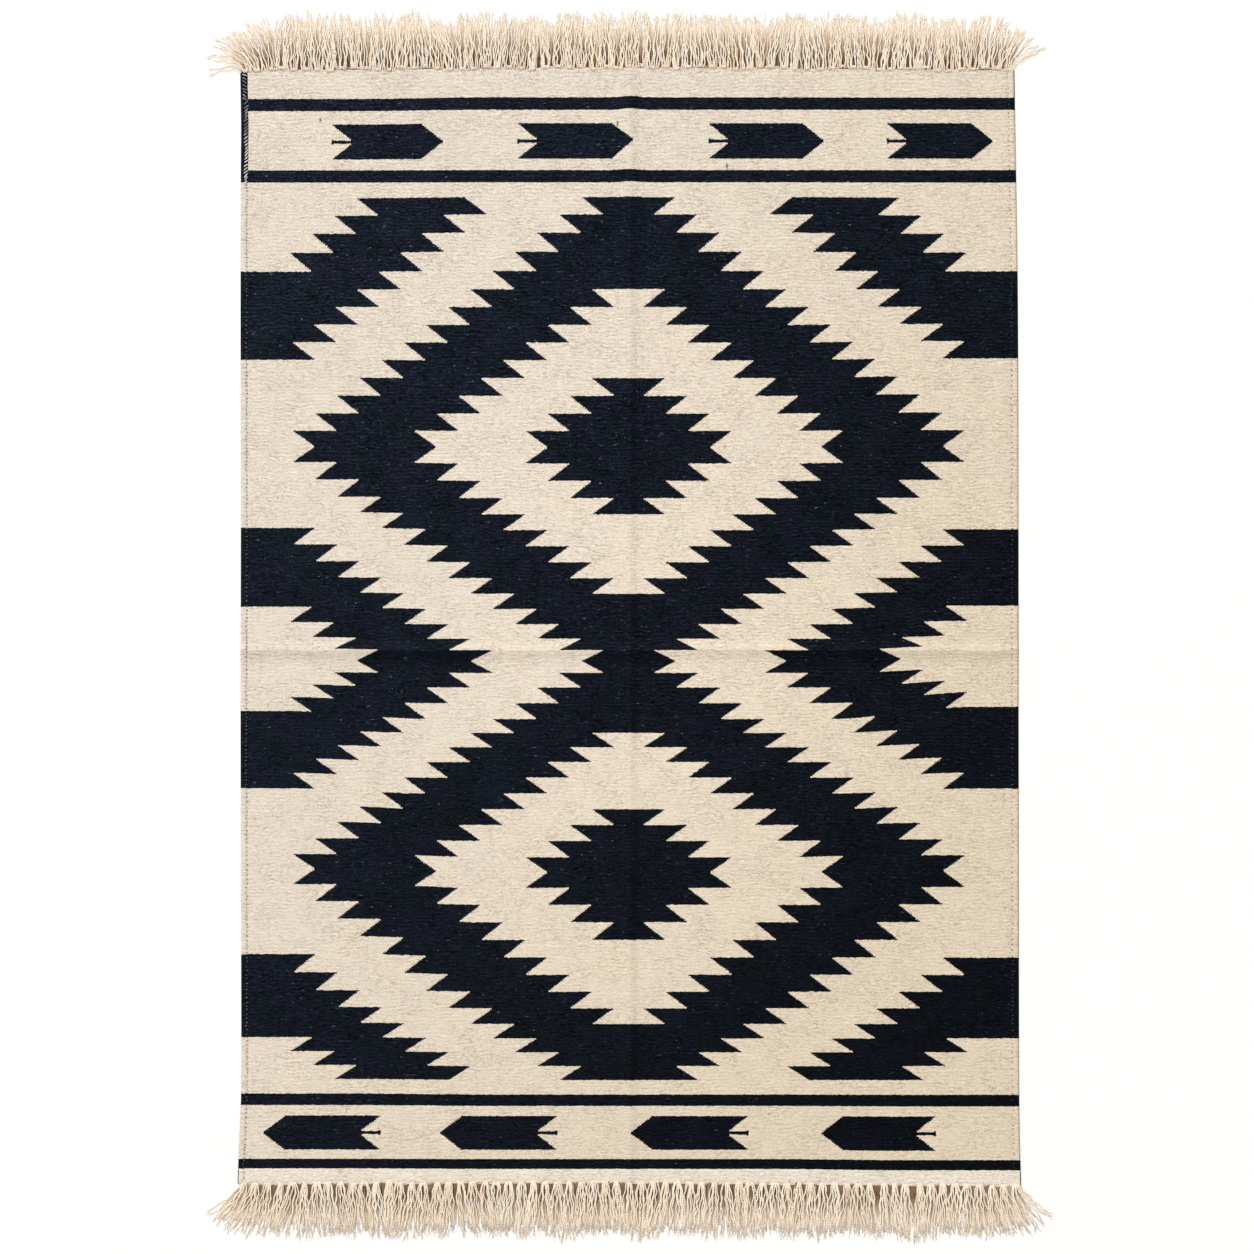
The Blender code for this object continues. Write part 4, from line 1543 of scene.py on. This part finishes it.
class RUG_OT_tie_fringes(bpy.types.Operator):
    """Tie the fringe of warp yarns at both ends of the cloth"""

    bl_idname = "rug.tie_fringes"
    bl_label = "Tie the fringes"

    def execute(self, context):
        material = twisted_yarn(context.scene.rug_colours)
        for end in FRINGE_ENDS:
            name = "fringe_yarns_" + end.name
            start_afresh(name)
            bpy.ops.mesh.primitive_circle_add(vertices=YARN_SIDES, radius=0.001)
            piece = name_piece(name)
            fill_mesh(piece.data, *grow_fringe(end, context.scene.rug_fringe))
            bpy.ops.object.shade_smooth()
            finish_piece(piece, material)
            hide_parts("fringe_" + end.name)
        return {"FINISHED"}


# ---------------------------------------------------------------- the stage


FLOOR_SIZE = 14
WINDOW_PLACE = (-21.0, 32.0, 39.0)
WINDOW_SIZE = 17.4
# The square frame that the camera sees, at the height of the cloth
FRAME_WIDTH = 2.2572
FRAME_MIDDLE = (-0.0027, 0.0021, 0.0035)
SENSOR_WIDTH = 36


class RUG_OT_set_stage(bpy.types.Operator):
    """Set the plain floor, the soft light and the camera straight above the rug"""

    bl_idname = "rug.set_stage"
    bl_label = "Set the stage"

    def execute(self, context):
        settings = context.scene.rug_stage
        start_afresh("floor")
        bpy.ops.mesh.primitive_plane_add(size=FLOOR_SIZE, location=(0, 0, 0))
        floor = name_piece("floor")
        bpy.ops.object.mode_set(mode="EDIT")
        bpy.ops.mesh.subdivide(number_cuts=7)
        bpy.ops.object.mode_set(mode="OBJECT")
        floor.data.materials.append(light_table(settings.floor, settings.glow))

        world = bpy.data.worlds.get("studio") or bpy.data.worlds.new("studio")
        context.scene.world = world
        world.use_nodes = True
        light = world.node_tree.nodes["Background"]
        light.inputs["Color"].default_value = (1.0, 0.995, 0.985, 1)
        light.inputs["Strength"].default_value = settings.room_light

        # So far off that it lights the rug almost evenly from end to end
        bpy.ops.object.light_add(type="AREA", location=WINDOW_PLACE)
        window = context.object
        window.name = window.data.name = "window"
        window.data.shape = "RECTANGLE"
        window.data.size = window.data.size_y = WINDOW_SIZE
        window.data.energy = settings.window_light
        window.rotation_euler = (-window.location).to_track_quat("-Z", "Y").to_euler()

        camera_data = bpy.data.cameras.new("camera")
        camera_data.lens = settings.lens
        camera_data.sensor_width = SENSOR_WIDTH
        camera = bpy.data.objects.new("camera", camera_data)
        context.scene.collection.objects.link(camera)
        distance = FRAME_WIDTH * settings.lens / SENSOR_WIDTH
        camera.location = Vector(FRAME_MIDDLE) + Vector((0, 0, distance))
        context.scene.camera = camera
        context.scene.view_settings.view_transform = "Standard"
        return {"FINISHED"}


class RUG_PT_panel(bpy.types.Panel):
    """The rug's sizes, colours and pieces"""

    bl_idname = "RUG_PT_panel"
    bl_label = "Dhurrie Rug"
    bl_space_type = "VIEW_3D"
    bl_region_type = "UI"
    bl_category = "Rug"

    def draw(self, context):
        for group in GROUPS:
            settings = getattr(context.scene, group)
            box = self.layout.box()
            for name in settings.__annotations__:
                box.prop(settings, name)
        for operator in OPERATORS:
            self.layout.operator(operator.bl_idname)


GROUPS = {
    "rug_cloth": RugCloth,
    "rug_fringe": RugFringe,
    "rug_colours": RugColours,
    "rug_stage": RugStage,
}
OPERATORS = (
    RUG_OT_set_stage,
    RUG_OT_weave_cloth,
    RUG_OT_sew_hems,
    RUG_OT_tie_fringes,
    RUG_OT_tie_knots,
)


def register():
    """Register the settings, the operators and the panel."""
    for cls in (*GROUPS.values(), *OPERATORS, RUG_PT_panel):
        bpy.utils.register_class(cls)
    for name, cls in GROUPS.items():
        setattr(bpy.types.Scene, name, PointerProperty(type=cls))


def unregister():
    """Take it all back."""
    for name in GROUPS:
        delattr(bpy.types.Scene, name)
    for cls in reversed((*GROUPS.values(), *OPERATORS, RUG_PT_panel)):
        bpy.utils.unregister_class(cls)


def main():
    """Build the whole rug."""
    register()
    bpy.ops.rug.set_stage()
    bpy.ops.rug.weave_cloth()
    bpy.ops.rug.sew_hems()
    bpy.ops.rug.tie_fringes()
    bpy.ops.rug.tie_knots()


if __name__ == "__main__":
    main()
